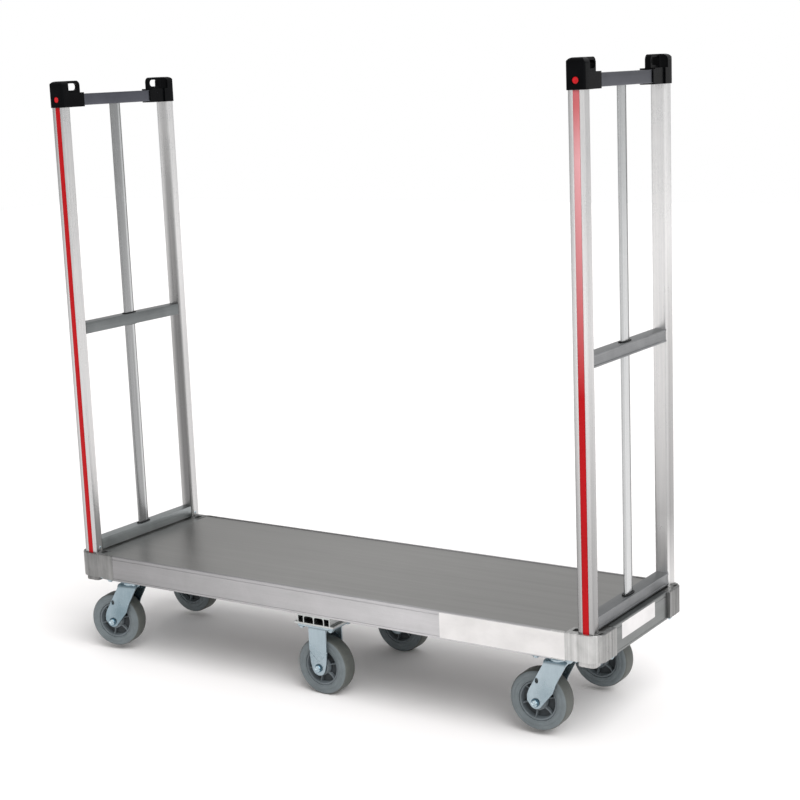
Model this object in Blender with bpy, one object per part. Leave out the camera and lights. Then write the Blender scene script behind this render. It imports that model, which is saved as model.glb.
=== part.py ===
"""Six-wheel platform truck: a sheet deck in extruded rails with cast corners, an end frame that
lifts out at each end, four swivel casters at the corners and two fixed casters in the middle.

Metres, +Z up. The origin is on the floor under the middle of the deck. X runs along the deck and
Y across it. Left and right are the ends at -X and +X, front and rear are the sides at -Y and +Y.
"""

import math

import bmesh
import bpy
from mathutils import Vector

# Fit between pieces
GAP = 0.0003
LOOSE = 0.0005
OVERLAP = 0.002

# Wheels
WHEEL_RADIUS = 0.0762
WHEEL_HALF_WIDTH = 0.0254
TYRE_SHOULDER = 0.0085
TYRE_WALL = 0.0257
HUB_RIM_WALL = 0.0042
HUB_RIM_INSET = 0.0042
HUB_WEB_HALF = 0.0028
HUB_BOSS_RADIUS = 0.0185
HUB_BOSS_PROUD = 0.0021
HUB_RIB_INSET = 0.0047
HUB_RIB_WIDTH = 0.0036
HUB_RIBS = 6
AXLE_RADIUS = 0.006
AXLE_HEAD_RADIUS = 0.0105
AXLE_HEAD_HEIGHT = 0.0075

# Casters
SWIVEL_INSET_X = 0.138
SWIVEL_INSET_Y = 0.0717
SWIVEL_TRAIL = 0.055
SWIVEL_LIFT = 0.013
FIXED_INSET_Y = 0.0515
FORK_SIDE_CLEARANCE = 0.0055
FORK_CROWN_CLEARANCE = 0.0306
FORK_WALL = 0.0045
FORK_BEND = 0.009
FORK_TOP_HALF = 0.0318
FORK_AXLE_HOLE = 0.0063
FORK_SIGHT_HOLE = 0.0058
FORK_SIGHT_AHEAD = 0.0088
FORK_SIGHT_RISE = 0.0578
RACE_RADIUS = 0.034
RACE_HEIGHT = 0.0058
RACE_SHOULDER_SHARE = 0.6
RACE_TOP_SHARE = 0.9
RACE_SEAT_SHARE = 1.05
RACE_SEAT_RADIUS = 0.028
RACE_SEAT_HEIGHT = 0.0086
PLATE_HALF_X = 0.058
PLATE_HALF_Y = 0.058
PLATE_THICKNESS = 0.006
PLATE_CORNER = 0.008
PLATE_BOLT_X = 0.044
PLATE_BOLT_Y = 0.047
NUT_RADIUS = 0.0085
NUT_HEIGHT = 0.0065
FIXED_PLATE_HALF_X = 0.057
FIXED_PLATE_HALF_Y = 0.048
FIXED_BOLT_X = 0.046
FIXED_BOLT_Y = 0.0385
FIXED_LEG_TOP_HALF = 0.0272
FIXED_LEG_FOOT = 0.0205

# Platform
RAIL_FACE_Y = 0.2367
RAIL_HEIGHT = 0.0716
RAIL_WALL = 0.0035
RAIL_LIP = 0.006
RAIL_LEDGE = 0.032
RAIL_LEDGE_WALL = 0.003
DECK_THICKNESS = 0.003
DECK_DROP = 0.0022
END_RAIL_FACE_X = 0.812
CASTING_PROUD = 0.007
CASTING_LEG_X = 0.0915
CASTING_LEG_Y = 0.0867
CASTING_CORE_Y = 0.0467
CASTING_ARM = 0.0152
CASTING_CORNER = 0.036
CASTING_LIFT = 0.0025
CASTING_TOP_DROP = 0.0012
CASTING_BOSS_DROP = 0.0125
CASTING_BOSS_RIM = 0.003
CASTING_FLOOR = 0.0045
FLUTE_WIDTH = 0.007
FLUTE_DEPTH = 0.0016
SLOT_DEPTH = 0.014
SLOT_LENGTH = 0.015
SLOT_WIDTH = 0.02
SLOT_OFFSET = 0.0045
SLOT_INNER_SHARE = 0.7
CROSS_MEMBER_INNER = 0.056
CROSS_MEMBER_WALL = 0.004

# Riser under the middle of the deck
RISER_HEIGHT = 0.0267
RISER_FLANGE_HALF = 0.061
RISER_FLANGE = 0.0047
RISER_HALF = 0.0515
RISER_WEB = 0.003
RISER_TOP_WALL = 0.0035
RISER_INNER_WEB_SHARE = 0.62
RISER_INSET_Y = 0.0015

# End frames
POST_INSET_X = 0.04145
POST_INSET_Y = 0.009
POST_WIDTH = 0.042
POST_DEPTH = 0.0306
POST_WALL = 0.003
POST_OUTER_RADIUS = 0.0045
POST_INNER_RADIUS = 0.009
STRIPE_WIDTH = 0.0157
STRIPE_DEPTH = 0.0015
STRIPE_SIDE_GAP = 0.0003
BAR_HALF_DEPTH = 0.0168
BAR_HEIGHT = 0.031
BAR_WALL = 0.003
BAR_RECESS = 0.0016
BAR_RIM = 0.0045
BOTTOM_BAR_LIFT = 0.0021
MID_BAR_RISE = 0.6516
TOP_BAR_RISE = 1.2753
SLAT_WIDTH = 0.041
SLAT_DEPTH = 0.01

# Caps on top of the posts
CAP_WALL = 0.0028
CAP_FLOOR = 0.0031
CAP_ROOF = 0.0035
CAP_CREST = 0.0318
CAP_COLUMN_DEPTH = 0.04
CAP_STEP_DEPTH = 0.0265
CAP_REACH = 0.0895
CAP_SLEEVE_HALF = 0.0198
CAP_FLANGE_HALF = 0.0075
CAP_FLANGE_INSET = 0.002
CAP_CORNER = 0.009
CAP_CROWN = 0.02
CAP_FLANGE_CORNER = 0.011
CAP_TONGUE = 0.01
HOOK_HOLE_RIM = 0.0035
HOOK_HOLE_PILLAR = 0.0037
HOOK_HOLE_SILL = 0.0063
HOOK_HOLE_LINTEL = 0.0062
HOOK_HOLE_ROUND_SHARE = 0.44

# Angles of the casters about Z at rest, and smoothness of round pieces
SWIVEL_ANGLES = {
    "front_left": math.radians(12.0),
    "front_right": math.radians(2.0),
    "rear_left": 0.0,
    "rear_right": 0.0,
}
ROUND_SEGMENTS = 24
RACE_SEGMENTS = 20
ARC_STEPS = 4
BEND_STEPS = 3
CROWN_STEPS = 6
HOLE_SEGMENTS = 12
HEX_SIDES = 6
SMOOTH_ANGLE = math.radians(35.0)

SIDES = {"front": -1, "rear": 1}
ENDS = {"left": -1, "right": 1}

# Derived sizes, from the floor up
TYRE_BORE_RADIUS = WHEEL_RADIUS - TYRE_WALL
HUB_RIM_HALF = WHEEL_HALF_WIDTH - HUB_RIM_INSET
HUB_RIB_HALF = HUB_RIM_HALF - HUB_RIB_INSET
HUB_BOSS_HALF = WHEEL_HALF_WIDTH + HUB_BOSS_PROUD
SWIVEL_AXLE_Z = WHEEL_RADIUS + SWIVEL_LIFT
FORK_HALF = HUB_BOSS_HALF + FORK_SIDE_CLEARANCE + FORK_WALL
FORK_CROWN_TOP = SWIVEL_AXLE_Z + WHEEL_RADIUS + FORK_CROWN_CLEARANCE + FORK_WALL
RACE_SEAT_BOTTOM = FORK_CROWN_TOP + RACE_HEIGHT + GAP
PLATE_BOTTOM = RACE_SEAT_BOTTOM + RACE_SEAT_HEIGHT
PLATE_TOP = PLATE_BOTTOM + PLATE_THICKNESS
RAIL_BOTTOM = PLATE_TOP + GAP
RAIL_TOP = RAIL_BOTTOM + RAIL_HEIGHT
DECK_TOP = RAIL_TOP - DECK_DROP
DECK_BOTTOM = DECK_TOP - DECK_THICKNESS
RISER_BOTTOM = RAIL_BOTTOM - RISER_HEIGHT
RISER_REACH_Y = RAIL_FACE_Y - RISER_INSET_Y
FIXED_PLATE_TOP = RISER_BOTTOM - GAP
FIXED_PLATE_BOTTOM = FIXED_PLATE_TOP - PLATE_THICKNESS
FIXED_Y = RAIL_FACE_Y - FIXED_INSET_Y
CASTING_FACE_X = END_RAIL_FACE_X + CASTING_PROUD
CASTING_INNER_X = CASTING_FACE_X - CASTING_LEG_X
CASTING_INNER_Y = RAIL_FACE_Y - CASTING_LEG_Y
CASTING_BOTTOM = RAIL_BOTTOM + CASTING_LIFT
CASTING_TOP = RAIL_TOP - CASTING_TOP_DROP
SWIVEL_X = CASTING_FACE_X - SWIVEL_INSET_X
SWIVEL_Y = RAIL_FACE_Y - SWIVEL_INSET_Y

# Derived sizes of the end frames and their caps
BOTTOM_BAR_TOP = RAIL_TOP + BOTTOM_BAR_LIFT + BAR_HEIGHT
MID_BAR_TOP = RAIL_TOP + MID_BAR_RISE
TOP_BAR_TOP = RAIL_TOP + TOP_BAR_RISE
POST_X = CASTING_FACE_X - POST_INSET_X
POST_FACE_Y = RAIL_FACE_Y - POST_INSET_Y
POST_Y = POST_FACE_Y - POST_DEPTH / 2
POST_BOTTOM = CASTING_BOTTOM - CASTING_BOSS_DROP + CASTING_FLOOR + GAP
POST_TOP = TOP_BAR_TOP
BAR_END_Y = POST_FACE_Y - POST_DEPTH - GAP
CAP_BOTTOM = TOP_BAR_TOP - BAR_HEIGHT - GAP - CAP_FLOOR
CAP_SLEEVE_TOP = TOP_BAR_TOP + GAP + CAP_ROOF
CAP_TOP = CAP_SLEEVE_TOP + CAP_CREST
CAP_COLUMN_HALF = POST_WIDTH / 2 + CAP_WALL
CAP_FACE_Y = POST_FACE_Y + CAP_WALL
CAP_COLUMN_INNER_Y = CAP_FACE_Y - CAP_COLUMN_DEPTH
CAP_STEP_Y = CAP_FACE_Y - CAP_STEP_DEPTH
CAP_FILLET = CAP_COLUMN_HALF - CAP_FLANGE_HALF
CAP_SLEEVE_END_Y = CAP_FACE_Y - CAP_REACH
CAP_FLANGE_END_Y = CAP_SLEEVE_END_Y + CAP_FLANGE_INSET
HOOK_HOLE_INNER_Y = CAP_FLANGE_END_Y + HOOK_HOLE_RIM
HOOK_HOLE_OUTER_Y = CAP_STEP_Y - CAP_FILLET - HOOK_HOLE_PILLAR
HOOK_HOLE_BOTTOM = CAP_SLEEVE_TOP + HOOK_HOLE_SILL
HOOK_HOLE_TOP = CAP_TOP - HOOK_HOLE_LINTEL
HOOK_HOLE_RADIUS = (HOOK_HOLE_TOP - HOOK_HOLE_BOTTOM) * HOOK_HOLE_ROUND_SHARE


# Materials

def make_material(name, colour, roughness, metallic):
    material = bpy.data.materials.new(name)
    material.use_nodes = True
    shader = material.node_tree.nodes["Principled BSDF"]
    shader.inputs["Base Color"].default_value = (*colour, 1.0)
    shader.inputs["Roughness"].default_value = roughness
    shader.inputs["Metallic"].default_value = metallic
    return material


def make_materials():
    return {
        "aluminium": make_material("aluminium", (0.62, 0.62, 0.60), 0.38, 1.0),
        "deck": make_material("deck_aluminium", (0.50, 0.49, 0.46), 0.42, 1.0),
        "cast": make_material("cast_aluminium", (0.60, 0.60, 0.57), 0.5, 1.0),
        "bar": make_material("bar_aluminium", (0.36, 0.37, 0.37), 0.45, 1.0),
        "zinc": make_material("zinc_steel", (0.60, 0.67, 0.69), 0.3, 1.0),
        "black": make_material("black_plastic", (0.012, 0.012, 0.013), 0.42, 0.0),
        "red": make_material("red_plastic", (0.62, 0.02, 0.02), 0.45, 0.0),
        "rubber": make_material("grey_rubber", (0.12, 0.13, 0.135), 0.6, 0.0),
        "hub": make_material("hub_plastic", (0.10, 0.11, 0.12), 0.5, 0.0),
    }


# Outlines

def arc(centre, radius, start, end, steps):
    points = []
    for step in range(steps + 1):
        angle = start + (end - start) * step / steps
        points.append((centre[0] + radius * math.cos(angle), centre[1] + radius * math.sin(angle)))
    return points


def circle(centre, radius, segments):
    return arc(centre, radius, 0.0, math.tau * (segments - 1) / segments, segments - 1)


def rounded_box(low, high, radii, steps=ARC_STEPS):
    """Corners anticlockwise from (low, low); a radius of zero keeps the corner sharp."""
    corners = (
        ((low[0], low[1]), (1, 1), math.pi),
        ((high[0], low[1]), (-1, 1), 1.5 * math.pi),
        ((high[0], high[1]), (-1, -1), 0.0),
        ((low[0], high[1]), (1, -1), 0.5 * math.pi),
    )
    points = []
    for (corner, inward, start), radius in zip(corners, radii):
        if radius == 0:
            points.append(corner)
            continue
        centre = (corner[0] + inward[0] * radius, corner[1] + inward[1] * radius)
        points += arc(centre, radius, start, start + math.pi / 2, steps)
    return points


def box_outline(low, high):
    return rounded_box(low, high, (0, 0, 0, 0))


def mirrored(points, side_u, side_v):
    turned_points = [(side_u * u, side_v * v) for u, v in points]
    if side_u * side_v < 0:
        turned_points.reverse()
    return turned_points


# Solids

def link(name, mesh, material, parent=None):
    piece = bpy.data.objects.new(name, mesh)
    bpy.context.scene.collection.objects.link(piece)
    if material is not None:
        mesh.materials.append(material)
    if parent is not None:
        piece.parent = parent
    return piece


def to_mesh(name, bm):
    bmesh.ops.recalc_face_normals(bm, faces=bm.faces)
    mesh = bpy.data.meshes.new(name)
    bm.to_mesh(mesh)
    bm.free()
    mesh.shade_smooth()
    mesh.set_sharp_from_angle(angle=SMOOTH_ANGLE)
    return mesh


def place_point(axis, u, v, w):
    """An outline point (u, v) at w along the axis: X takes (Y, Z), Y takes (X, Z), Z takes (X, Y)."""
    return {"X": (w, u, v), "Y": (u, w, v), "Z": (u, v, w)}[axis]


def add_prism(bm, axis, outline, start, end, holes=()):
    loops = [outline, *holes]
    bottom = [[bm.verts.new(place_point(axis, u, v, start)) for u, v in loop] for loop in loops]
    top = [[bm.verts.new(place_point(axis, u, v, end)) for u, v in loop] for loop in loops]
    for low, high in zip(bottom, top):
        for index in range(len(low)):
            follower = (index + 1) % len(low)
            bm.faces.new((low[index], low[follower], high[follower], high[index]))
    for ends in (bottom, top):
        edges = []
        for loop in ends:
            for index in range(len(loop)):
                edges.append(bm.edges.get((loop[index], loop[(index + 1) % len(loop)])))
        if len(ends) == 1:
            bm.faces.new(ends[0])
        else:
            bmesh.ops.triangle_fill(bm, use_beauty=True, use_dissolve=False, edges=edges)


def prism(name, axis, outline, start, end, material=None, parent=None, holes=()):
    bm = bmesh.new()
    add_prism(bm, axis, outline, start, end, holes)
    return link(name, to_mesh(name, bm), material, parent)


def prisms(name, axis, outlines, start, end, parent=None):
    bm = bmesh.new()
    for outline in outlines:
        add_prism(bm, axis, outline, start, end)
    return link(name, to_mesh(name, bm), None, parent)


def turned(name, profile, segments, material=None, parent=None, ring=True):
    """Turns (radius, height) points about Z: a ring joins its last point to its first."""
    bm = bmesh.new()
    rings = []
    for radius, height in profile:
        points = circle((0, 0), radius, segments)
        rings.append([bm.verts.new((u, v, height)) for u, v in points])
    pairs = list(zip(rings, rings[1:]))
    if ring:
        pairs.append((rings[-1], rings[0]))
    for low, high in pairs:
        for index in range(segments):
            follower = (index + 1) % segments
            bm.faces.new((low[index], low[follower], high[follower], high[index]))
    if not ring:
        bm.faces.new(rings[0])
        bm.faces.new(rings[-1])
    return link(name, to_mesh(name, bm), material, parent)


def combine(piece, tool, operation):
    tool.hide_render = True
    tool.display_type = "WIRE"
    modifier = piece.modifiers.new(operation.lower(), "BOOLEAN")
    modifier.operation = operation
    modifier.solver = "EXACT"
    modifier.object = tool


def add_empty(name, location, angle=0.0, parent=None):
    empty = bpy.data.objects.new(name, None)
    bpy.context.scene.collection.objects.link(empty)
    empty.location = location
    empty.rotation_euler = (0.0, 0.0, angle)
    empty.parent = parent
    return empty


# Platform

def rail_profile(face, side):
    """Section of a rail: (across, Z), with its outer face at face on the given side."""
    inner_lip = face - RAIL_LIP
    ledge_end = face - RAIL_LEDGE
    ledge_top = DECK_BOTTOM - GAP
    points = [
        (face, RAIL_BOTTOM),
        (face, RAIL_TOP),
        (inner_lip, RAIL_TOP),
        (inner_lip, ledge_top),
        (ledge_end, ledge_top),
        (ledge_end, ledge_top - RAIL_LEDGE_WALL),
        (face - RAIL_WALL, ledge_top - RAIL_LEDGE_WALL),
        (face - RAIL_WALL, RAIL_BOTTOM + RAIL_WALL),
        (ledge_end, RAIL_BOTTOM + RAIL_WALL),
        (ledge_end, RAIL_BOTTOM),
    ]
    return mirrored(points, side, 1)


def build_rails(materials):
    reach = CASTING_INNER_X - GAP
    for side_name, side in SIDES.items():
        outline = rail_profile(RAIL_FACE_Y, side)
        prism(f"side_rail_{side_name}", "X", outline, -reach, reach, materials["aluminium"])
    reach = CASTING_INNER_Y - GAP
    for end_name, end in ENDS.items():
        outline = rail_profile(END_RAIL_FACE_X, end)
        prism(f"end_rail_{end_name}", "Y", outline, -reach, reach, materials["aluminium"])


def build_deck(materials):
    reach_x = END_RAIL_FACE_X - RAIL_LIP - GAP
    reach_y = RAIL_FACE_Y - RAIL_LIP - GAP
    arm_x = CASTING_FACE_X - CASTING_ARM - GAP
    notch_x = CASTING_INNER_X - GAP
    notch_y = RAIL_FACE_Y - CASTING_CORE_Y - GAP
    arm_y = CASTING_INNER_Y - GAP
    quarter = [
        (reach_x, arm_y),
        (arm_x, arm_y),
        (arm_x, notch_y),
        (notch_x, notch_y),
        (notch_x, reach_y),
    ]
    outline = []
    for end, side in ((1, 1), (-1, 1), (-1, -1), (1, -1)):
        outline += mirrored(quarter, end, side)
    prism("deck_sheet", "Z", outline, DECK_BOTTOM, DECK_TOP, materials["deck"])


def fluted(start, end, outward):
    """Points of one shallow flute halfway between start and end, which run along a flat face."""
    middle = ((start[0] + end[0]) / 2, (start[1] + end[1]) / 2)
    length = math.dist(start, end)
    along = ((end[0] - start[0]) / length, (end[1] - start[1]) / length)
    points = []
    for offset, depth in ((-0.5, 0), (-0.2, 1), (0.2, 1), (0.5, 0)):
        reach = offset * FLUTE_WIDTH
        sink = depth * FLUTE_DEPTH
        points.append((
            middle[0] + along[0] * reach - outward[0] * sink,
            middle[1] + along[1] * reach - outward[1] * sink,
        ))
    return points


def casting_outline():
    """Plan of the rear right casting, anticlockwise."""
    arm_x = CASTING_FACE_X - CASTING_ARM
    core_y = RAIL_FACE_Y - CASTING_CORE_Y
    corner = (CASTING_FACE_X - CASTING_CORNER, RAIL_FACE_Y - CASTING_CORNER)
    arm_start = (CASTING_FACE_X, CASTING_INNER_Y)
    arm_end = (CASTING_FACE_X, corner[1])
    face_start = (corner[0], RAIL_FACE_Y)
    face_end = (CASTING_INNER_X, RAIL_FACE_Y)
    points = [(CASTING_INNER_X, core_y), (arm_x, core_y), (arm_x, CASTING_INNER_Y), arm_start]
    points += fluted(arm_start, arm_end, (1, 0))
    bend = arc(corner, CASTING_CORNER, 0.0, math.pi / 2, 3 * ARC_STEPS)
    flute_radius = CASTING_CORNER - FLUTE_DEPTH
    for share in (0.25, 0.5, 0.75):
        index = round(share * 3 * ARC_STEPS)
        bend[index] = arc(corner, flute_radius, share * math.pi / 2, share * math.pi / 2, 1)[0]
    points += bend
    points += fluted(face_start, face_end, (0, 1))
    points.append(face_end)
    return points


def post_outline(rim=0.0, grooved=True):
    """Section of the rear right post grown by rim, anticlockwise from its inner left corner."""
    half = POST_WIDTH / 2 + rim
    low = (POST_X - half, POST_FACE_Y - POST_DEPTH - rim)
    high = (POST_X + half, POST_FACE_Y + rim)
    inner = POST_INNER_RADIUS + rim
    outer = POST_OUTER_RADIUS + rim
    points = rounded_box(low, high, (inner, inner, outer, outer))
    if not grooved:
        return points
    groove_half = STRIPE_WIDTH / 2 + STRIPE_SIDE_GAP
    groove_y = POST_FACE_Y - STRIPE_DEPTH - GAP
    split = 3 * (ARC_STEPS + 1)
    groove = [
        (POST_X + groove_half, POST_FACE_Y),
        (POST_X + groove_half, groove_y),
        (POST_X - groove_half, groove_y),
        (POST_X - groove_half, POST_FACE_Y),
    ]
    return points[:split] + groove + points[split:]


def build_castings(materials):
    slot_low = POST_Y - SLOT_INNER_SHARE * SLOT_WIDTH
    slot_y = (slot_low, slot_low + SLOT_WIDTH)
    post_half = POST_WIDTH / 2 + SLOT_OFFSET
    inner_slot = (POST_X - post_half - SLOT_LENGTH, POST_X - post_half)
    outer_slot = (POST_X + post_half, POST_X + post_half + SLOT_LENGTH / 2)
    slots = [box_outline((low, slot_y[0]), (high, slot_y[1])) for low, high in (inner_slot, outer_slot)]
    boss_bottom = CASTING_BOTTOM - CASTING_BOSS_DROP
    for side_name, side in SIDES.items():
        for end_name, end in ENDS.items():
            tag = f"{side_name}_{end_name}"
            casting = prism(
                f"corner_casting_{tag}", "Z", mirrored(casting_outline(), end, side),
                CASTING_BOTTOM, CASTING_TOP, materials["cast"],
            )
            boss = prism(
                f"casting_boss_{tag}", "Z", mirrored(post_outline(CASTING_BOSS_RIM, False), end, side),
                boss_bottom, CASTING_BOTTOM + OVERLAP,
            )
            combine(casting, boss, "UNION")
            socket = prism(
                f"casting_socket_{tag}", "Z", mirrored(post_outline(LOOSE, False), end, side),
                POST_BOTTOM - GAP, RAIL_TOP + OVERLAP,
            )
            combine(casting, socket, "DIFFERENCE")
            pockets = prisms(
                f"casting_pockets_{tag}", "Z", [mirrored(slot, end, side) for slot in slots],
                CASTING_TOP - SLOT_DEPTH, RAIL_TOP + OVERLAP,
            )
            combine(casting, pockets, "DIFFERENCE")


def build_cross_members(materials):
    """Open channels over the swivel casters, which carry the deck between the rails."""
    reach_y = RAIL_FACE_Y - RAIL_LEDGE - GAP
    bottom = RAIL_BOTTOM
    top = DECK_BOTTOM - GAP
    wall = CROSS_MEMBER_WALL
    inner = SWIVEL_X - CROSS_MEMBER_INNER
    outer = CASTING_INNER_X - GAP
    outline = [
        (inner, bottom),
        (outer, bottom),
        (outer, top),
        (outer - wall, top),
        (outer - wall, bottom + wall),
        (inner + wall, bottom + wall),
        (inner + wall, top),
        (inner, top),
    ]
    for end_name, end in ENDS.items():
        prism(
            f"cross_member_{end_name}", "Y", mirrored(outline, end, 1), -reach_y, reach_y,
            materials["aluminium"],
        )


def riser_outline():
    top = RAIL_BOTTOM - GAP
    flange_top = RISER_BOTTOM + RISER_FLANGE
    return [
        (-RISER_FLANGE_HALF, RISER_BOTTOM),
        (RISER_FLANGE_HALF, RISER_BOTTOM),
        (RISER_FLANGE_HALF, flange_top),
        (RISER_HALF, flange_top),
        (RISER_HALF, top),
        (-RISER_HALF, top),
        (-RISER_HALF, flange_top),
        (-RISER_FLANGE_HALF, flange_top),
    ]


def riser_cells():
    """The four openings between the webs; the two middle ones have rounded tops."""
    low = RISER_BOTTOM + RISER_FLANGE
    high = RAIL_BOTTOM - GAP - RISER_TOP_WALL
    half_web = RISER_WEB / 2
    inner_web = RISER_HALF * RISER_INNER_WEB_SHARE
    middle = (half_web, inner_web - half_web)
    outer = (inner_web + half_web, RISER_HALF - RISER_WEB)
    radius = (high - low) / 3
    cells = []
    for side in (-1, 1):
        round_cell = rounded_box((middle[0], low), (middle[1], high), (0, 0, radius, radius), BEND_STEPS)
        cells.append(mirrored(round_cell, side, 1))
        cells.append(mirrored(box_outline((outer[0], low), (outer[1], high)), side, 1))
    return cells


def build_riser(materials):
    prism(
        "riser", "Y", riser_outline(), -RISER_REACH_Y, RISER_REACH_Y, materials["aluminium"],
        holes=riser_cells(),
    )


# End frames

def bar_profile(top, recessed):
    """Section (X, Z) of a cross bar; a recessed one has a shallow channel in its outer face."""
    low = (-BAR_HALF_DEPTH, top - BAR_HEIGHT)
    high = (BAR_HALF_DEPTH, top)
    if not recessed:
        return box_outline(low, high)
    sunk = BAR_HALF_DEPTH - BAR_RECESS
    return [
        low,
        (high[0], low[1]),
        (high[0], low[1] + BAR_RIM),
        (sunk, low[1] + BAR_RIM),
        (sunk, high[1] - BAR_RIM),
        (high[0], high[1] - BAR_RIM),
        high,
        (low[0], high[1]),
    ]


def slat_outline(rim=0.0):
    half_depth = SLAT_DEPTH / 2 + rim
    half_width = SLAT_WIDTH / 2 + rim
    radii = (half_depth * 0.98,) * 4
    return rounded_box((-half_depth, -half_width), (half_depth, half_width), radii)


def build_bars(materials, end_name, end, frame):
    inside = (BAR_WALL - BAR_HALF_DEPTH, BAR_HALF_DEPTH - BAR_WALL)
    for bar_name, top in (("top", TOP_BAR_TOP), ("mid", MID_BAR_TOP), ("bottom", BOTTOM_BAR_TOP)):
        bottom = top - BAR_HEIGHT
        hollow = box_outline((inside[0], bottom + BAR_WALL), (inside[1], top - BAR_WALL))
        outline = bar_profile(top, bar_name != "top")
        bar = prism(
            f"{bar_name}_bar_{end_name}", "Y", mirrored(outline, end, 1), -BAR_END_Y, BAR_END_Y,
            materials["bar"], frame, [hollow],
        )
        if bar_name == "top":
            continue
        slot_bottom = bottom - OVERLAP if bar_name == "mid" else bottom + BAR_WALL + GAP
        slot = prism(
            f"{bar_name}_bar_slot_{end_name}", "Z", slat_outline(GAP), slot_bottom, top + OVERLAP,
            None, frame,
        )
        combine(bar, slot, "DIFFERENCE")


def build_slat(materials, end_name, frame):
    bottom = BOTTOM_BAR_TOP - BAR_HEIGHT + BAR_WALL + GAP
    top = TOP_BAR_TOP - BAR_HEIGHT - GAP
    prism(f"centre_slat_{end_name}", "Z", slat_outline(), bottom, top, materials["aluminium"], frame)


def frame_outline(points, end, side):
    """Moves a plan outline of the rear right corner to its place on a frame at X zero."""
    centred = [(x - POST_X, y) for x, y in points]
    return mirrored(centred, end, side)


def build_posts(materials, end_name, end, frame):
    hollow_low = (POST_X - POST_WIDTH / 2 + POST_WALL, POST_Y - POST_DEPTH / 2 + POST_WALL)
    hollow_high = (POST_X + POST_WIDTH / 2 - POST_WALL, POST_Y + POST_DEPTH / 2 - 2 * POST_WALL)
    hollow = box_outline(hollow_low, hollow_high)
    stripe_half = STRIPE_WIDTH / 2
    stripe = box_outline((POST_X - stripe_half, POST_FACE_Y - STRIPE_DEPTH), (POST_X + stripe_half, POST_FACE_Y))
    for side_name, side in SIDES.items():
        tag = f"{side_name}_{end_name}"
        prism(
            f"post_{tag}", "Z", frame_outline(post_outline(), end, side), POST_BOTTOM, POST_TOP,
            materials["aluminium"], frame, [frame_outline(hollow, end, side)],
        )
        prism(
            f"post_stripe_{tag}", "Z", frame_outline(stripe, end, side), POST_BOTTOM,
            CAP_BOTTOM - GAP, materials["red"], frame,
        )


def side_outline(low_y, high_y, low_z, high_z, radii, side):
    return mirrored(rounded_box((low_y, low_z), (high_y, high_z), radii), side, 1)


def corner_outline(edge, radius, outward):
    """Side view of what rounds off the cap's top at the edge that faces outward, 1 or -1."""
    centre = (edge - outward * radius, CAP_TOP - radius)
    start = 0.0 if outward > 0 else math.pi
    curve = arc(centre, radius, start, math.pi / 2, CROWN_STEPS)
    beyond = edge + outward * OVERLAP
    above = CAP_TOP + OVERLAP
    outline = curve + [(centre[0], above), (beyond, above), (beyond, centre[1])]
    return mirrored(outline, -1, 1)


def cap_plan():
    """Plan of a front cap's column, whose flange springs from it in a hollow curve on each side."""
    half = CAP_COLUMN_HALF
    column = rounded_box((-half, -CAP_FACE_Y), (half, -CAP_STEP_Y), (CAP_CORNER, CAP_CORNER, 0, 0))
    hollow = arc((half, CAP_FILLET - CAP_STEP_Y), CAP_FILLET, 1.5 * math.pi, math.pi, ARC_STEPS)
    right = [*hollow, (CAP_FLANGE_HALF, -CAP_FLANGE_END_Y)]
    return column[:-2] + right + [(-u, v) for u, v in reversed(right)]


def build_cap(materials, tag, side, frame):
    """One moulding, turned half a turn about Z on the other side of the frame."""
    holder = add_empty(f"cap_seat_{tag}", (0.0, 0.0, 0.0), 0.0 if side < 0 else math.pi, frame)
    cap = prism(f"cap_{tag}", "Z", cap_plan(), CAP_BOTTOM, CAP_TOP, materials["black"], holder)
    corners = {
        "crown": corner_outline(CAP_FACE_Y, CAP_CROWN, 1),
        "nose": corner_outline(CAP_FLANGE_END_Y, CAP_FLANGE_CORNER, -1),
    }
    for name, outline in corners.items():
        corner = prism(f"cap_{name}_{tag}", "X", outline, -POST_WIDTH, POST_WIDTH, None, holder)
        combine(cap, corner, "DIFFERENCE")
    root_outline = box_outline(
        (-CAP_COLUMN_HALF, -CAP_STEP_Y - OVERLAP), (CAP_COLUMN_HALF, -CAP_COLUMN_INNER_Y),
    )
    root = prism(f"cap_root_{tag}", "Z", root_outline, CAP_BOTTOM, CAP_SLEEVE_TOP, None, holder)
    combine(cap, root, "UNION")
    sleeve_outline = side_outline(
        CAP_SLEEVE_END_Y, CAP_COLUMN_INNER_Y + OVERLAP, CAP_BOTTOM, CAP_SLEEVE_TOP, (0, 0, 0, 0), -1,
    )
    sleeve = prism(
        f"cap_sleeve_{tag}", "X", sleeve_outline, -CAP_SLEEVE_HALF, CAP_SLEEVE_HALF, None, holder,
    )
    combine(cap, sleeve, "UNION")
    tongue_outline = side_outline(
        CAP_SLEEVE_END_Y - CAP_TONGUE, CAP_SLEEVE_END_Y + OVERLAP, CAP_BOTTOM + CAP_WALL,
        CAP_SLEEVE_TOP - CAP_WALL, (0, 0, 0, 0), -1,
    )
    tongue = prism(
        f"cap_tongue_{tag}", "X", tongue_outline, -CAP_SLEEVE_HALF, -BAR_HALF_DEPTH - GAP, None, holder,
    )
    combine(cap, tongue, "UNION")
    cut_cap(cap, tag, holder)


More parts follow.
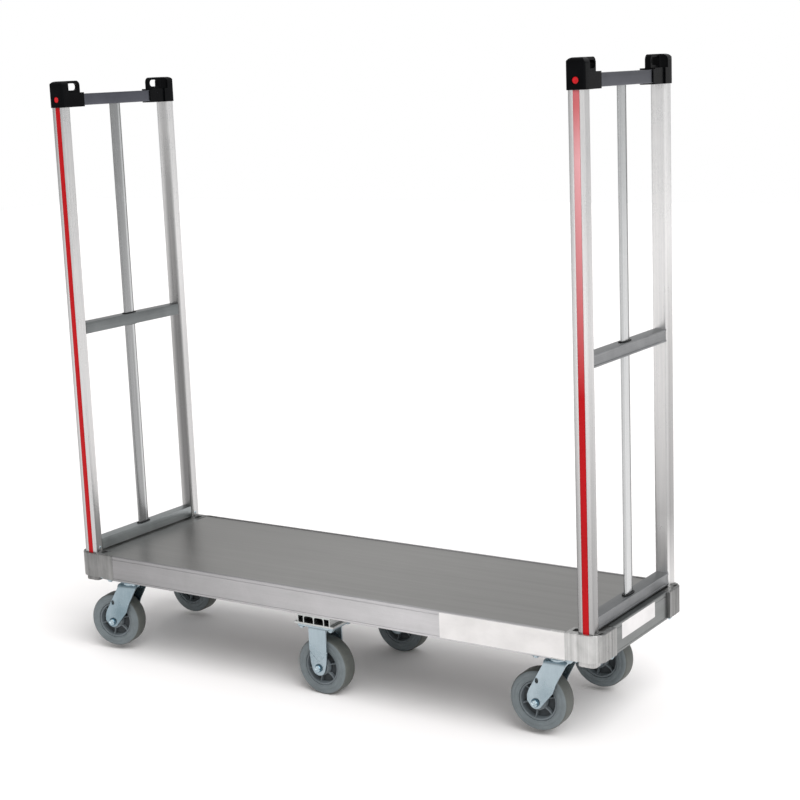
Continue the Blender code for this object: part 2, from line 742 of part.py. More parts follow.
def cut_cap(cap, tag, holder):
    socket_plan = frame_outline(post_outline(LOOSE, False), 1, -1)
    post_socket = prism(
        f"cap_post_socket_{tag}", "Z", socket_plan, CAP_BOTTOM - OVERLAP, POST_TOP + LOOSE, None, holder,
    )
    combine(cap, post_socket, "DIFFERENCE")
    socket_low = (-BAR_HALF_DEPTH - GAP, TOP_BAR_TOP - BAR_HEIGHT - GAP)
    socket_high = (BAR_HALF_DEPTH + GAP, TOP_BAR_TOP + GAP)
    bar_socket = prism(
        f"cap_bar_socket_{tag}", "Y", box_outline(socket_low, socket_high),
        -POST_Y, OVERLAP - CAP_SLEEVE_END_Y, None, holder,
    )
    combine(cap, bar_socket, "DIFFERENCE")
    hole_outline = side_outline(
        HOOK_HOLE_INNER_Y, HOOK_HOLE_OUTER_Y, HOOK_HOLE_BOTTOM, HOOK_HOLE_TOP,
        (HOOK_HOLE_RADIUS, 0, 0, HOOK_HOLE_RADIUS), -1,
    )
    hook_hole = prism(f"cap_hook_hole_{tag}", "X", hole_outline, -POST_WIDTH, POST_WIDTH, None, holder)
    combine(cap, hook_hole, "DIFFERENCE")


def build_frames(materials):
    for end_name, end in ENDS.items():
        frame = add_empty(f"frame_{end_name}", (end * POST_X, 0.0, 0.0))
        build_posts(materials, end_name, end, frame)
        build_bars(materials, end_name, end, frame)
        build_slat(materials, end_name, frame)
        for side_name, side in SIDES.items():
            build_cap(materials, f"{side_name}_{end_name}", side, frame)


# Wheels

def tyre_profile():
    outer = WHEEL_RADIUS
    shoulder = TYRE_SHOULDER
    half = [
        (TYRE_BORE_RADIUS, WHEEL_HALF_WIDTH),
        (outer - shoulder, WHEEL_HALF_WIDTH),
        (outer - 0.3 * shoulder, WHEEL_HALF_WIDTH - 0.35 * shoulder),
        (outer, WHEEL_HALF_WIDTH - 1.1 * shoulder),
    ]
    return half + [(radius, -height) for radius, height in reversed(half)]


def hub_profile():
    rim_outer = TYRE_BORE_RADIUS - GAP
    rim_inner = rim_outer - HUB_RIM_WALL
    bore = AXLE_RADIUS + LOOSE
    half = [
        (bore, HUB_BOSS_HALF),
        (HUB_BOSS_RADIUS, HUB_BOSS_HALF),
        (HUB_BOSS_RADIUS, HUB_WEB_HALF),
        (rim_inner, HUB_WEB_HALF),
        (rim_inner, HUB_RIM_HALF),
        (rim_outer, HUB_RIM_HALF),
    ]
    return half + [(radius, -height) for radius, height in reversed(half)]


def rib_star():
    """Outline of the ribs as a star around the boss."""
    half = HUB_RIB_WIDTH / 2
    reach = TYRE_BORE_RADIUS - HUB_RIM_WALL / 2
    root = (AXLE_RADIUS + HUB_BOSS_RADIUS) / 2 + half
    points = []
    for rib in range(HUB_RIBS):
        angle = math.tau * rib / HUB_RIBS
        along = Vector((math.cos(angle), math.sin(angle)))
        across = Vector((-along.y, along.x))
        for distance, offset in ((root, -half), (reach, -half), (reach, half), (root, half)):
            point = along * distance + across * offset
            points.append((point.x, point.y))
    return points


def build_wheel(materials, tag, carrier):
    """A wheel whose origin is its centre and whose axis lies along the carrier's Y."""
    spin = add_empty(f"wheel_axis_{tag}", carrier["axle"], 0.0, carrier["parent"])
    spin.rotation_euler = (math.pi / 2, 0.0, 0.0)
    turned(f"wheel_tyre_{tag}", tyre_profile(), ROUND_SEGMENTS, materials["rubber"], spin)
    hub = turned(f"wheel_hub_{tag}", hub_profile(), ROUND_SEGMENTS, materials["hub"], spin)
    core = circle((0, 0), (AXLE_RADIUS + HUB_BOSS_RADIUS) / 2, HUB_RIBS * 2)
    ribs = prism(
        f"hub_ribs_{tag}", "Z", rib_star(), -HUB_RIB_HALF, HUB_RIB_HALF, None, spin, [core],
    )
    combine(hub, ribs, "UNION")
    build_axle(materials, tag, spin)


def build_axle(materials, tag, spin):
    """Bolt through both legs of the fork, with its head and its nut outside them."""
    leg = FORK_HALF + GAP
    head = leg + AXLE_HEAD_HEIGHT
    half = [(AXLE_HEAD_RADIUS, head), (AXLE_HEAD_RADIUS, leg), (AXLE_RADIUS, leg)]
    profile = half + [(radius, -height) for radius, height in reversed(half)]
    turned(f"axle_bolt_{tag}", profile, HOLE_SEGMENTS, materials["zinc"], spin, ring=False)


# Casters

def channel_profile(top):
    """Section (Y, Z) of a fork: a bridge with two legs, bent round at the top."""
    foot = -WHEEL_RADIUS
    half = FORK_HALF
    wall = FORK_WALL
    inner = half - wall
    inner_bend = FORK_BEND - wall
    outer_arc = arc((half - FORK_BEND, top - FORK_BEND), FORK_BEND, 0.0, math.pi / 2, BEND_STEPS)
    inner_centre = (inner - inner_bend, top - wall - inner_bend)
    inner_arc = arc(inner_centre, inner_bend, math.pi / 2, 0.0, BEND_STEPS)
    right = [(half, foot), *outer_arc]
    left = [(-u, v) for u, v in reversed(right)]
    back = [(-u, v) for u, v in reversed(inner_arc)] + inner_arc
    return right + left + [(-inner, foot)] + back + [(inner, foot)]


def swivel_leg_outline():
    """Side view (X, Z) of the swept leg, from the pivot's axis, anticlockwise from the foot."""
    axle = (-SWIVEL_TRAIL, SWIVEL_AXLE_Z)
    crown = FORK_CROWN_TOP + OVERLAP
    half = FORK_TOP_HALF
    foot = WHEEL_RADIUS * 0.215
    knee = axle[1] + WHEEL_RADIUS * 0.29
    return [
        (axle[0] + half * 0.24, axle[1] - foot * 0.82),
        (axle[0] + half * 0.75, axle[1] - foot * 0.1),
        (axle[0] + half * 1.35, knee),
        (half, crown),
        (-half, crown),
        (axle[0] - half * 0.57, knee + WHEEL_RADIUS * 0.09),
        (axle[0] - half * 0.71, knee - WHEEL_RADIUS * 0.07),
        (axle[0] - half * 0.71, axle[1] + foot * 0.1),
        (axle[0] - half * 0.5, axle[1] - foot * 0.72),
        (axle[0] - half * 0.15, axle[1] - foot),
    ]


def build_swivel_fork(materials, tag, swivel):
    fork = prism(
        f"caster_fork_{tag}", "X", channel_profile(FORK_CROWN_TOP), -2 * SWIVEL_TRAIL,
        SWIVEL_TRAIL, materials["zinc"], swivel,
    )
    sight = (FORK_SIGHT_AHEAD - SWIVEL_TRAIL, SWIVEL_AXLE_Z + FORK_SIGHT_RISE)
    holes = [
        circle((-SWIVEL_TRAIL, SWIVEL_AXLE_Z), FORK_AXLE_HOLE, HOLE_SEGMENTS),
        circle(sight, FORK_SIGHT_HOLE, HOLE_SEGMENTS // 2),
    ]
    reach = FORK_HALF + OVERLAP
    legs = prism(
        f"fork_legs_{tag}", "Y", swivel_leg_outline(), -reach, reach, None, swivel, holes,
    )
    combine(fork, legs, "INTERSECT")
    race_profile = [
        (RACE_RADIUS, FORK_CROWN_TOP - OVERLAP),
        (RACE_RADIUS, FORK_CROWN_TOP + RACE_HEIGHT * RACE_SHOULDER_SHARE),
        (RACE_RADIUS * RACE_TOP_SHARE, FORK_CROWN_TOP + RACE_HEIGHT),
    ]
    race = turned(f"fork_race_{tag}", race_profile, RACE_SEGMENTS, None, swivel, ring=False)
    combine(fork, race, "UNION")


def nut_outlines(bolt_x, bolt_y):
    return [circle((end * bolt_x, side * bolt_y), NUT_RADIUS, HEX_SIDES) for end in (-1, 1) for side in (-1, 1)]


def plate_outline(half_x, half_y):
    return rounded_box((-half_x, -half_y), (half_x, half_y), (PLATE_CORNER,) * 4, BEND_STEPS)


def build_swivel_plate(materials, tag, seat):
    plate = prism(
        f"caster_plate_{tag}", "Z", plate_outline(PLATE_HALF_X, PLATE_HALF_Y),
        PLATE_BOTTOM, PLATE_TOP, materials["zinc"], seat,
    )
    seat_profile = [
        (RACE_SEAT_RADIUS, RACE_SEAT_BOTTOM),
        (RACE_RADIUS * RACE_SEAT_SHARE, PLATE_BOTTOM - OVERLAP),
        (RACE_RADIUS * RACE_SEAT_SHARE, PLATE_BOTTOM + OVERLAP),
    ]
    race = turned(f"plate_race_{tag}", seat_profile, RACE_SEGMENTS, None, seat, ring=False)
    combine(plate, race, "UNION")
    nuts = prisms(
        f"plate_nuts_{tag}", "Z", nut_outlines(PLATE_BOLT_X, PLATE_BOLT_Y),
        PLATE_BOTTOM - NUT_HEIGHT, PLATE_BOTTOM + OVERLAP, seat,
    )
    combine(plate, nuts, "UNION")


def build_swivel_casters(materials):
    for side_name, side in SIDES.items():
        for end_name, end in ENDS.items():
            tag = f"{side_name}_{end_name}"
            place = (end * SWIVEL_X, side * SWIVEL_Y, 0.0)
            seat = add_empty(f"caster_seat_{tag}", place)
            swivel = add_empty(f"swivel_{tag}", place, SWIVEL_ANGLES[tag])
            build_swivel_plate(materials, tag, seat)
            build_swivel_fork(materials, tag, swivel)
            carrier = {"parent": swivel, "axle": (-SWIVEL_TRAIL, 0.0, SWIVEL_AXLE_Z)}
            build_wheel(materials, tag, carrier)


def fixed_leg_outline():
    """Side view (X, Z) of a straight leg with a rounded foot."""
    centre = (0.0, WHEEL_RADIUS)
    top = FIXED_PLATE_BOTTOM + OVERLAP
    foot = arc(centre, FIXED_LEG_FOOT, math.pi, math.tau, 2 * ARC_STEPS)
    return [*foot, (FIXED_LEG_TOP_HALF, WHEEL_RADIUS * 1.5), (FIXED_LEG_TOP_HALF, top),
            (-FIXED_LEG_TOP_HALF, top), (-FIXED_LEG_TOP_HALF, WHEEL_RADIUS * 1.5)]


def build_fixed_fork(materials, tag, seat):
    crown = FIXED_PLATE_BOTTOM + OVERLAP / 2
    fork = prism(
        f"caster_fork_{tag}", "X", channel_profile(crown), -WHEEL_RADIUS, WHEEL_RADIUS,
        materials["zinc"], seat,
    )
    reach = FORK_HALF + OVERLAP
    hole = circle((0.0, WHEEL_RADIUS), FORK_AXLE_HOLE, HOLE_SEGMENTS)
    legs = prism(f"fork_legs_{tag}", "Y", fixed_leg_outline(), -reach, reach, None, seat, [hole])
    combine(fork, legs, "INTERSECT")
    plate = prism(
        f"fork_plate_{tag}", "Z", plate_outline(FIXED_PLATE_HALF_X, FIXED_PLATE_HALF_Y),
        FIXED_PLATE_BOTTOM, FIXED_PLATE_TOP, None, seat,
    )
    combine(fork, plate, "UNION")
    nuts = prisms(
        f"fork_nuts_{tag}", "Z", nut_outlines(FIXED_BOLT_X, FIXED_BOLT_Y),
        FIXED_PLATE_BOTTOM - NUT_HEIGHT, FIXED_PLATE_BOTTOM + OVERLAP, seat,
    )
    combine(fork, nuts, "UNION")


def build_fixed_casters(materials):
    for side_name, side in SIDES.items():
        tag = f"{side_name}_centre"
        seat = add_empty(f"caster_seat_{tag}", (0.0, side * FIXED_Y, 0.0))
        build_fixed_fork(materials, tag, seat)
        build_wheel(materials, tag, {"parent": seat, "axle": (0.0, 0.0, WHEEL_RADIUS)})


def clear_scene():
    for leftover in list(bpy.data.objects):
        bpy.data.objects.remove(leftover, do_unlink=True)


def main():
    clear_scene()
    materials = make_materials()
    build_rails(materials)
    build_deck(materials)
    build_castings(materials)
    build_cross_members(materials)
    build_riser(materials)
    build_frames(materials)
    build_swivel_casters(materials)
    build_fixed_casters(materials)


main()
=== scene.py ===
"""Looks for a six-wheel platform truck with an end frame at each end.

Metres, +Z up, X along the deck, Y across it, the floor at Z zero under the middle wheels.
Corner pieces are drawn for the rear right corner and mirrored to the others.
"""
import math

import bmesh
import bpy
from mathutils import Matrix, Vector


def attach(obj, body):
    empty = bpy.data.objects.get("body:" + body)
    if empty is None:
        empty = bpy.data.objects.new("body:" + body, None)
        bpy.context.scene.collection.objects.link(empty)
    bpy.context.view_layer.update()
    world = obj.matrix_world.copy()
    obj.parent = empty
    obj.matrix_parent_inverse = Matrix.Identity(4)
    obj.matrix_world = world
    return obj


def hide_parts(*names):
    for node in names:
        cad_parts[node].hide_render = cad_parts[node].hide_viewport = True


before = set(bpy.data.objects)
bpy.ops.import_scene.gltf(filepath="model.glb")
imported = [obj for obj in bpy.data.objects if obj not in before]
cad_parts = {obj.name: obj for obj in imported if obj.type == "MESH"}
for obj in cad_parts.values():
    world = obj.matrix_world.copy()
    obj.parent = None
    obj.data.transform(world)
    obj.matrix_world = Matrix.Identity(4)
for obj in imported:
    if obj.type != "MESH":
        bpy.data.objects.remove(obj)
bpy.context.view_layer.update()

# Rails and deck
RAIL_FACE_Y = 0.2367
RAIL_BOTTOM = 0.2215
RAIL_TOP = 0.2931
RAIL_LIP = 0.006
RAIL_LEDGE = 0.032
RAIL_SEAT = 0.003
RAIL_WALL = 0.0035
RAIL_ROUND = 0.0022
RAIL_BREAK = 0.0008
RAIL_END_X = 0.69
DECK_BOTTOM = 0.2879
DECK_TOP = 0.2909
END_RAIL_FACE_X = 0.812
END_RAIL_LIP = 0.0185

# Corner castings
CASTING_FACE_X = 0.819
CASTING_INNER_X = 0.7275
CASTING_INNER_Y = 0.15
CASTING_CORE_Y = 0.19
CASTING_ARM_X = 0.8038
CASTING_CORNER = 0.036
CASTING_BOTTOM = 0.224
CASTING_TOP = 0.2919
CASTING_EDGE = 0.0012
BOSS_BOTTOM = 0.2115
SOCKET_FLOOR = 0.216

# End frames
POST_X = 0.77755
POST_FACE_Y = 0.2277
POST_WIDTH = 0.042
POST_DEPTH = 0.0306
POST_Y = POST_FACE_Y - POST_DEPTH / 2
POST_BOTTOM = 0.2163
POST_TOP = 1.5684
POST_INNER_ROUND = 0.009
POST_OUTER_ROUND = 0.0045
BAR_HALF_DEPTH = 0.0168
BAR_HEIGHT = 0.031
BAR_RIM = 0.0045
BAR_RECESS = 0.0016
BAR_END_Y = 0.1968
BAR_TOPS = {"top": 1.5684, "mid": 0.9447, "bottom": 0.3262}
SLAT_HALF_WIDTH = 0.0205
SLAT_HALF_DEPTH = 0.005
CAP_BOTTOM = 1.534
CAP_TOP = 1.604

# Wheels and casters
WHEEL_RADIUS = 0.0762
WHEEL_HALF_WIDTH = 0.0254
BORE_RADIUS = 0.0505
SWIVEL_X = 0.681
SWIVEL_Y = 0.165
SWIVEL_TRAIL = 0.055
SWIVEL_AXLE_Z = 0.0892
SWIVEL_ANGLES = {"front_left": 12.0, "front_right": 2.0, "rear_left": 0.0, "rear_right": 0.0}
FIXED_Y = 0.1852
FORK_HALF = 0.0375
FORK_WALL = 0.0045
FORK_BEND = 0.009
FORK_CROWN_TOP = 0.2005
SWIVEL_LEG_HALF = 0.0318
FIXED_LEG_HALF = 0.0272
PLATE_TOP = 0.2212
PLATE_THICKNESS = 0.006
PLATE_EDGE = 0.0012
FIXED_PLATE_TOP = 0.1945

SIDES = {"front": -1, "rear": 1}
ENDS = {"left": -1, "right": 1}
GAP = 0.0003
OVERRUN = 0.01
SHARP_ANGLE = 32.0
BEVEL_ANGLE = 40.0


# Node trees

def srgb(red, green, blue):
    """Linear colour of a colour seen on screen, each value from 0 to 255."""
    shares = (value / 255 for value in (red, green, blue))
    linear = (share / 12.92 if share <= 0.04045 else ((share + 0.055) / 1.055) ** 2.4 for share in shares)
    return (*linear, 1.0)


class Nodes:
    """A node tree, with short calls for the nodes used here."""

    def __init__(self, tree, coordinates):
        self.nodes = tree.nodes
        self.links = tree.links
        self.place = self.add("ShaderNodeTexCoord")[coordinates]

    def connect(self, node, inputs):
        """Sets each input, named or numbered, or links it where the value is a socket."""
        for key, value in inputs.items():
            if isinstance(value, bpy.types.NodeSocket):
                self.links.new(value, node.inputs[key])
            elif value is not None:
                node.inputs[key].default_value = value

    def add(self, kind, inputs=None, **settings):
        node = self.nodes.new(kind)
        for name, value in settings.items():
            setattr(node, name, value)
        self.connect(node, inputs or {})
        return node.outputs

    def scaled(self, scale):
        """Coordinates times a scale: one number, or one for each axis."""
        sizes = scale if isinstance(scale, tuple) else (scale,) * 3
        return self.add("ShaderNodeMapping", {"Vector": self.place, "Scale": sizes})["Vector"]

    def noise(self, scale, detail=3.0, roughness=0.55, distortion=0.0):
        return self.add("ShaderNodeTexNoise", {
            "Vector": self.scaled(scale), "Scale": 1.0, "Detail": detail, "Roughness": roughness,
            "Distortion": distortion})["Fac"]

    def flecks(self, scale):
        return self.add("ShaderNodeTexVoronoi", {"Vector": self.scaled(scale), "Scale": 1.0})["Distance"]

    def spread(self, value, low, high, start=0.0, end=1.0):
        """Goes from start to end as a value goes from low to high."""
        return self.add("ShaderNodeMapRange", {
            "Value": value, "From Min": low, "From Max": high, "To Min": start, "To Max": end})["Result"]

    def along(self, axis, low, high, start=0.0, end=1.0):
        """Goes from start to end between two places along an axis."""
        place = self.add("ShaderNodeSeparateXYZ", {0: self.place})[axis]
        return self.spread(place, low, high, start, end)

    def mix(self, factor, dark, light):
        return self.add("ShaderNodeMix", {0: factor, 6: dark, 7: light}, data_type="RGBA")[2]

    def tone(self, value, low, high, dark, light):
        """Goes from a dark to a light screen colour as a value goes from low to high."""
        return self.mix(self.spread(value, low, high), srgb(*dark), srgb(*light))

    def blend(self, first, second, share):
        return self.add("ShaderNodeMix", {0: share, 2: first, 3: second})[0]

    def product(self, first, second):
        return self.add("ShaderNodeMath", {0: first, 1: second}, operation="MULTIPLY")[0]

    def bump(self, height, strength, distance, base=None):
        return self.add("ShaderNodeBump", {
            "Height": height, "Strength": strength, "Distance": distance, "Normal": base})["Normal"]

    def shaded(self, colour, shades):
        """Darkens a colour by each painted shade: its strength, and ramps that each name an axis, where
        the painted shade is absent and where it is full."""
        for strength, ramps in shades:
            mask = self.along(*ramps[0])
            for ramp in ramps[1:]:
                mask = self.product(mask, self.along(*ramp))
            factor = self.spread(mask, 0.0, 1.0, 1.0, 1.0 - strength)
            colour = self.add("ShaderNodeVectorMath", {0: colour, "Scale": factor}, operation="SCALE")[0]
        return colour


class Finish(Nodes):
    """The node tree of a new material."""

    def __init__(self, name):
        self.material = bpy.data.materials.new(name)
        self.material.use_nodes = True
        super().__init__(self.material.node_tree, "Object")

    def done(self, colour, roughness, relief=None, **values):
        """Feeds the shader and gives the material."""
        inputs = {"Base Color": colour, "Roughness": roughness, "Normal": relief}
        inputs.update({name.replace("_", " "): value for name, value in values.items()})
        self.connect(self.nodes["Principled BSDF"], inputs)
        return self.material


# Materials

# Noise scales for lines along an axis: fine grain, and broader streaks
GRAIN = {"X": (9.0, 850.0, 850.0), "Y": (850.0, 9.0, 850.0), "Z": (850.0, 850.0, 9.0)}
STREAKS = {"X": (1.4, 60.0, 60.0), "Y": (60.0, 1.4, 60.0), "Z": (140.0, 140.0, 1.2)}

# Painted shade: how strongly each finish is darkened, and along which ramps, where shade and dark reflections
# fall
# Painted shade: the side rails grow darker towards the left end
RAIL_SHADES = ((0.46, (("X", 0.25, -0.66),)),)
# Painted shade: the deck darker towards both ends than in its middle
DECK_SHADES = ((0.14, (("X", 0.1, 0.62),)), (0.14, (("X", -0.1, -0.62),)))
# Painted shade: the left frame's bars darker from the bottom bar up to the middle bar
BAR_SHADES = ((0.44, (("Z", 0.35, 0.9),)),)
# Painted shade: the left and rear castings darker, and the right castings towards their +X faces
CAST_SHADES = ((0.56, (("X", 0.3, -0.6),)), (0.4, (("Y", 0.0, 0.17),)), (0.38, (("X", 0.8, 0.816),)))
# Painted shade and dark painted reflections on each post: darker edges, lower parts and inner faces
POST_SHADES = {
    "front_left": (
        (0.52, (("X", -0.7875, -0.7985),)), (0.2, (("Z", 0.75, 0.25),)), (0.3, (("Y", -0.2015, -0.1965),))),
    "rear_left": (
        (0.48, (("Y", 0.2045, 0.199), ("X", -0.788, -0.776), ("Z", 1.7, 1.3))),
        (0.52, (("Y", 0.2045, 0.199), ("Z", 1.35, 0.85))),
        (0.22, (("X", -0.7605, -0.757), ("Z", 1.1, 0.8))),
        (0.4, (("X", -0.7955, -0.7985),)), (0.35, (("Y", 0.2225, 0.2275),))),
    "front_right": (
        (0.46, (("X", 0.769, 0.7575),)), (0.55, (("Z", 1.0, 0.25),)), (0.22, (("X", 0.7935, 0.7975),))),
    "rear_right": (
        (0.28, (("X", 0.7605, 0.7565),)), (0.42, (("Z", 1.15, 0.5), ("Z", 0.32, 0.48))),
        (0.3, (("X", 0.794, 0.798), ("Z", 1.2, 0.9))), (0.22, (("Y", 0.2225, 0.2275),))),
}
# Painted light: each post's base tone, lighter or darker by how the light falls on it
POST_TONES = {"front_left": 190, "rear_left": 206, "front_right": 213, "rear_right": 214}
# Painted reflections on each frame's slat: darker bands that leave a light edge and a lighter stripe
SLAT_SHADES = {
    "left": ((0.45, (("Y", 0.009, 0.004),)), (0.62, (("Y", 0.0118, 0.0142), ("Y", 0.0182, 0.0164)))),
    "right": ((0.16, (("Y", -0.0125, -0.0165),)), (0.72, (("Y", 0.0075, 0.0105), ("Y", 0.0158, 0.0132)))),
}


def metal(name, axis, dark, light, roughness, grain=0.25, patch_share=0.4, shades=()):
    """Extruded or brushed aluminium: fine lines along an axis, soft uneven patches, and any painted shade."""
    tree = Finish(name)
    fine = tree.noise(GRAIN[axis], 4.0, 0.7)
    broad = tree.noise(STREAKS[axis], 3.0, 0.6)
    patch = tree.noise(11.0, 4.0, 0.6, 0.6)
    mixed = tree.blend(tree.blend(fine, broad, 0.5), patch, patch_share)
    colour = tree.shaded(tree.tone(mixed, 0.34, 0.66, dark, light), shades)
    rough = tree.spread(tree.blend(fine, patch, 0.6), 0.3, 0.7, roughness - 0.04, roughness + 0.05)
    relief = tree.bump(patch, 0.05, 0.0012, tree.bump(fine, grain, 0.00012))
    return tree.done(colour, rough, relief, Metallic=1.0)


def cast_metal(name, dark, light):
    """Cast aluminium: small cloudy patches, fine grit and faint upright polishing lines, with painted shade.
    """
    tree = Finish(name)
    cloud = tree.noise((20.0, 20.0, 12.0), 5.0, 0.6, 0.6)
    grit = tree.noise(900.0, 3.0, 0.6)
    lines = tree.noise((110.0, 110.0, 2.2))
    mixed = tree.blend(tree.blend(cloud, lines, 0.5), grit, 0.08)
    colour = tree.shaded(tree.tone(mixed, 0.36, 0.64, dark, light), CAST_SHADES)
    relief = tree.bump(cloud, 0.18, 0.0012, tree.bump(grit, 0.22, 0.00025))
    return tree.done(colour, tree.spread(cloud, 0.3, 0.7, 0.24, 0.38), relief, Metallic=0.9)


def zinc_metal(name, dark, light, cloud_scale=(16.0, 16.0, 11.0)):
    """Zinc plating on pressed steel: cool, bright, faintly clouded, with fine rolling lines."""
    tree = Finish(name)
    cloud = tree.noise(cloud_scale, 3.0, 0.45, 0.4)
    lines = tree.noise((700.0, 700.0, 24.0), 3.0, 0.6)
    mixed = tree.blend(tree.blend(cloud, lines, 0.2), tree.flecks(420.0), 0.05)
    colour = tree.tone(mixed, 0.3, 0.64, dark, light)
    relief = tree.bump(cloud, 0.1, 0.001, tree.bump(lines, 0.08, 0.0002))
    return tree.done(colour, tree.spread(cloud, 0.32, 0.68, 0.24, 0.35), relief, Metallic=0.95)


def moulded(name, dark, light, roughness, grit_scale=620.0, grit=0.2, sheen=0.28):
    """Moulded plastic with a fine spark-eroded grain and slight tone changes."""
    tree = Finish(name)
    cloud = tree.noise(24.0, 4.0, 0.6)
    fine = tree.noise(grit_scale, 2.0, 0.5)
    colour = tree.tone(tree.blend(cloud, fine, 0.3), 0.35, 0.65, dark, light)
    rough = tree.spread(cloud, 0.3, 0.7, roughness - 0.05, roughness + 0.07)
    return tree.done(colour, rough, tree.bump(fine, grit, 0.0003), Specular_IOR_Level=sheen)


def stripe_film(name, reflection_tint=None):
    """Red strip with fine lines along it; the last argument, if given, is the pale tint of a painted
    reflection in its upper part.
    """
    tree = Finish(name)
    lines = tree.noise((500.0, 500.0, 6.0), 3.0, 0.6)
    patch = tree.noise((9.0, 9.0, 5.0), 4.0, 0.6)
    colour = tree.tone(tree.blend(lines, patch, 0.5), 0.35, 0.65, (168, 5, 14), (186, 10, 20))
    # Painted reflection: the strip pales towards the tint from 0.85 m up to about 1.4 m, less again near its
    # top
    if reflection_tint:
        mask = tree.product(tree.along("Z", 0.85, 1.42), tree.along("Z", 1.5, 1.38, 0.35, 1.0))
        colour = tree.mix(mask, colour, srgb(*reflection_tint))
    rough = tree.spread(patch, 0.3, 0.7, 0.3, 0.42)
    return tree.done(colour, rough, tree.bump(lines, 0.15, 0.0002), Specular_IOR_Level=0.14)


def rubber(name, dark, light, worn):
    """Grey tyre rubber: dusty patches, fine pores, and scuffs round the tread."""
    tree = Finish(name)
    cloud = tree.noise(30.0, 6.0, 0.65, 0.5)
    pores = tree.noise(520.0, 3.0, 0.6)
    scuff = tree.noise((14.0, 14.0, 260.0), 4.0, 0.7)
    colour = tree.tone(tree.blend(cloud, pores, 0.25), 0.34, 0.66, dark, light)
    colour = tree.mix(tree.spread(scuff, 0.6, 0.78, 0.0, 0.35), colour, srgb(*worn))
    relief = tree.bump(cloud, 0.15, 0.001, tree.bump(pores, 0.25, 0.0003))
    return tree.done(colour, tree.spread(cloud, 0.3, 0.7, 0.5, 0.68), relief)


def blank_film(name, dark, light):
    """Satin film: nearly even, with very soft ripples where it lies on the metal."""
    tree = Finish(name)
    ripple = tree.noise((18.0, 18.0, 30.0), 3.0, 0.5)
    fine = tree.noise(500.0, 2.0, 0.5)
    colour = tree.tone(ripple, 0.35, 0.65, dark, light)
    return tree.done(colour, tree.spread(fine, 0.3, 0.7, 0.28, 0.4), tree.bump(ripple, 0.1, 0.0006))


def floor_paper(name, dark, light):
    """Bright matt paper with broad soft clouds between two linear colours."""
    tree = Finish(name)
    cloud = tree.noise(0.6, 2.0, 0.5)
    return tree.done(tree.mix(tree.spread(cloud, 0.3, 0.7), dark, light), 0.9)


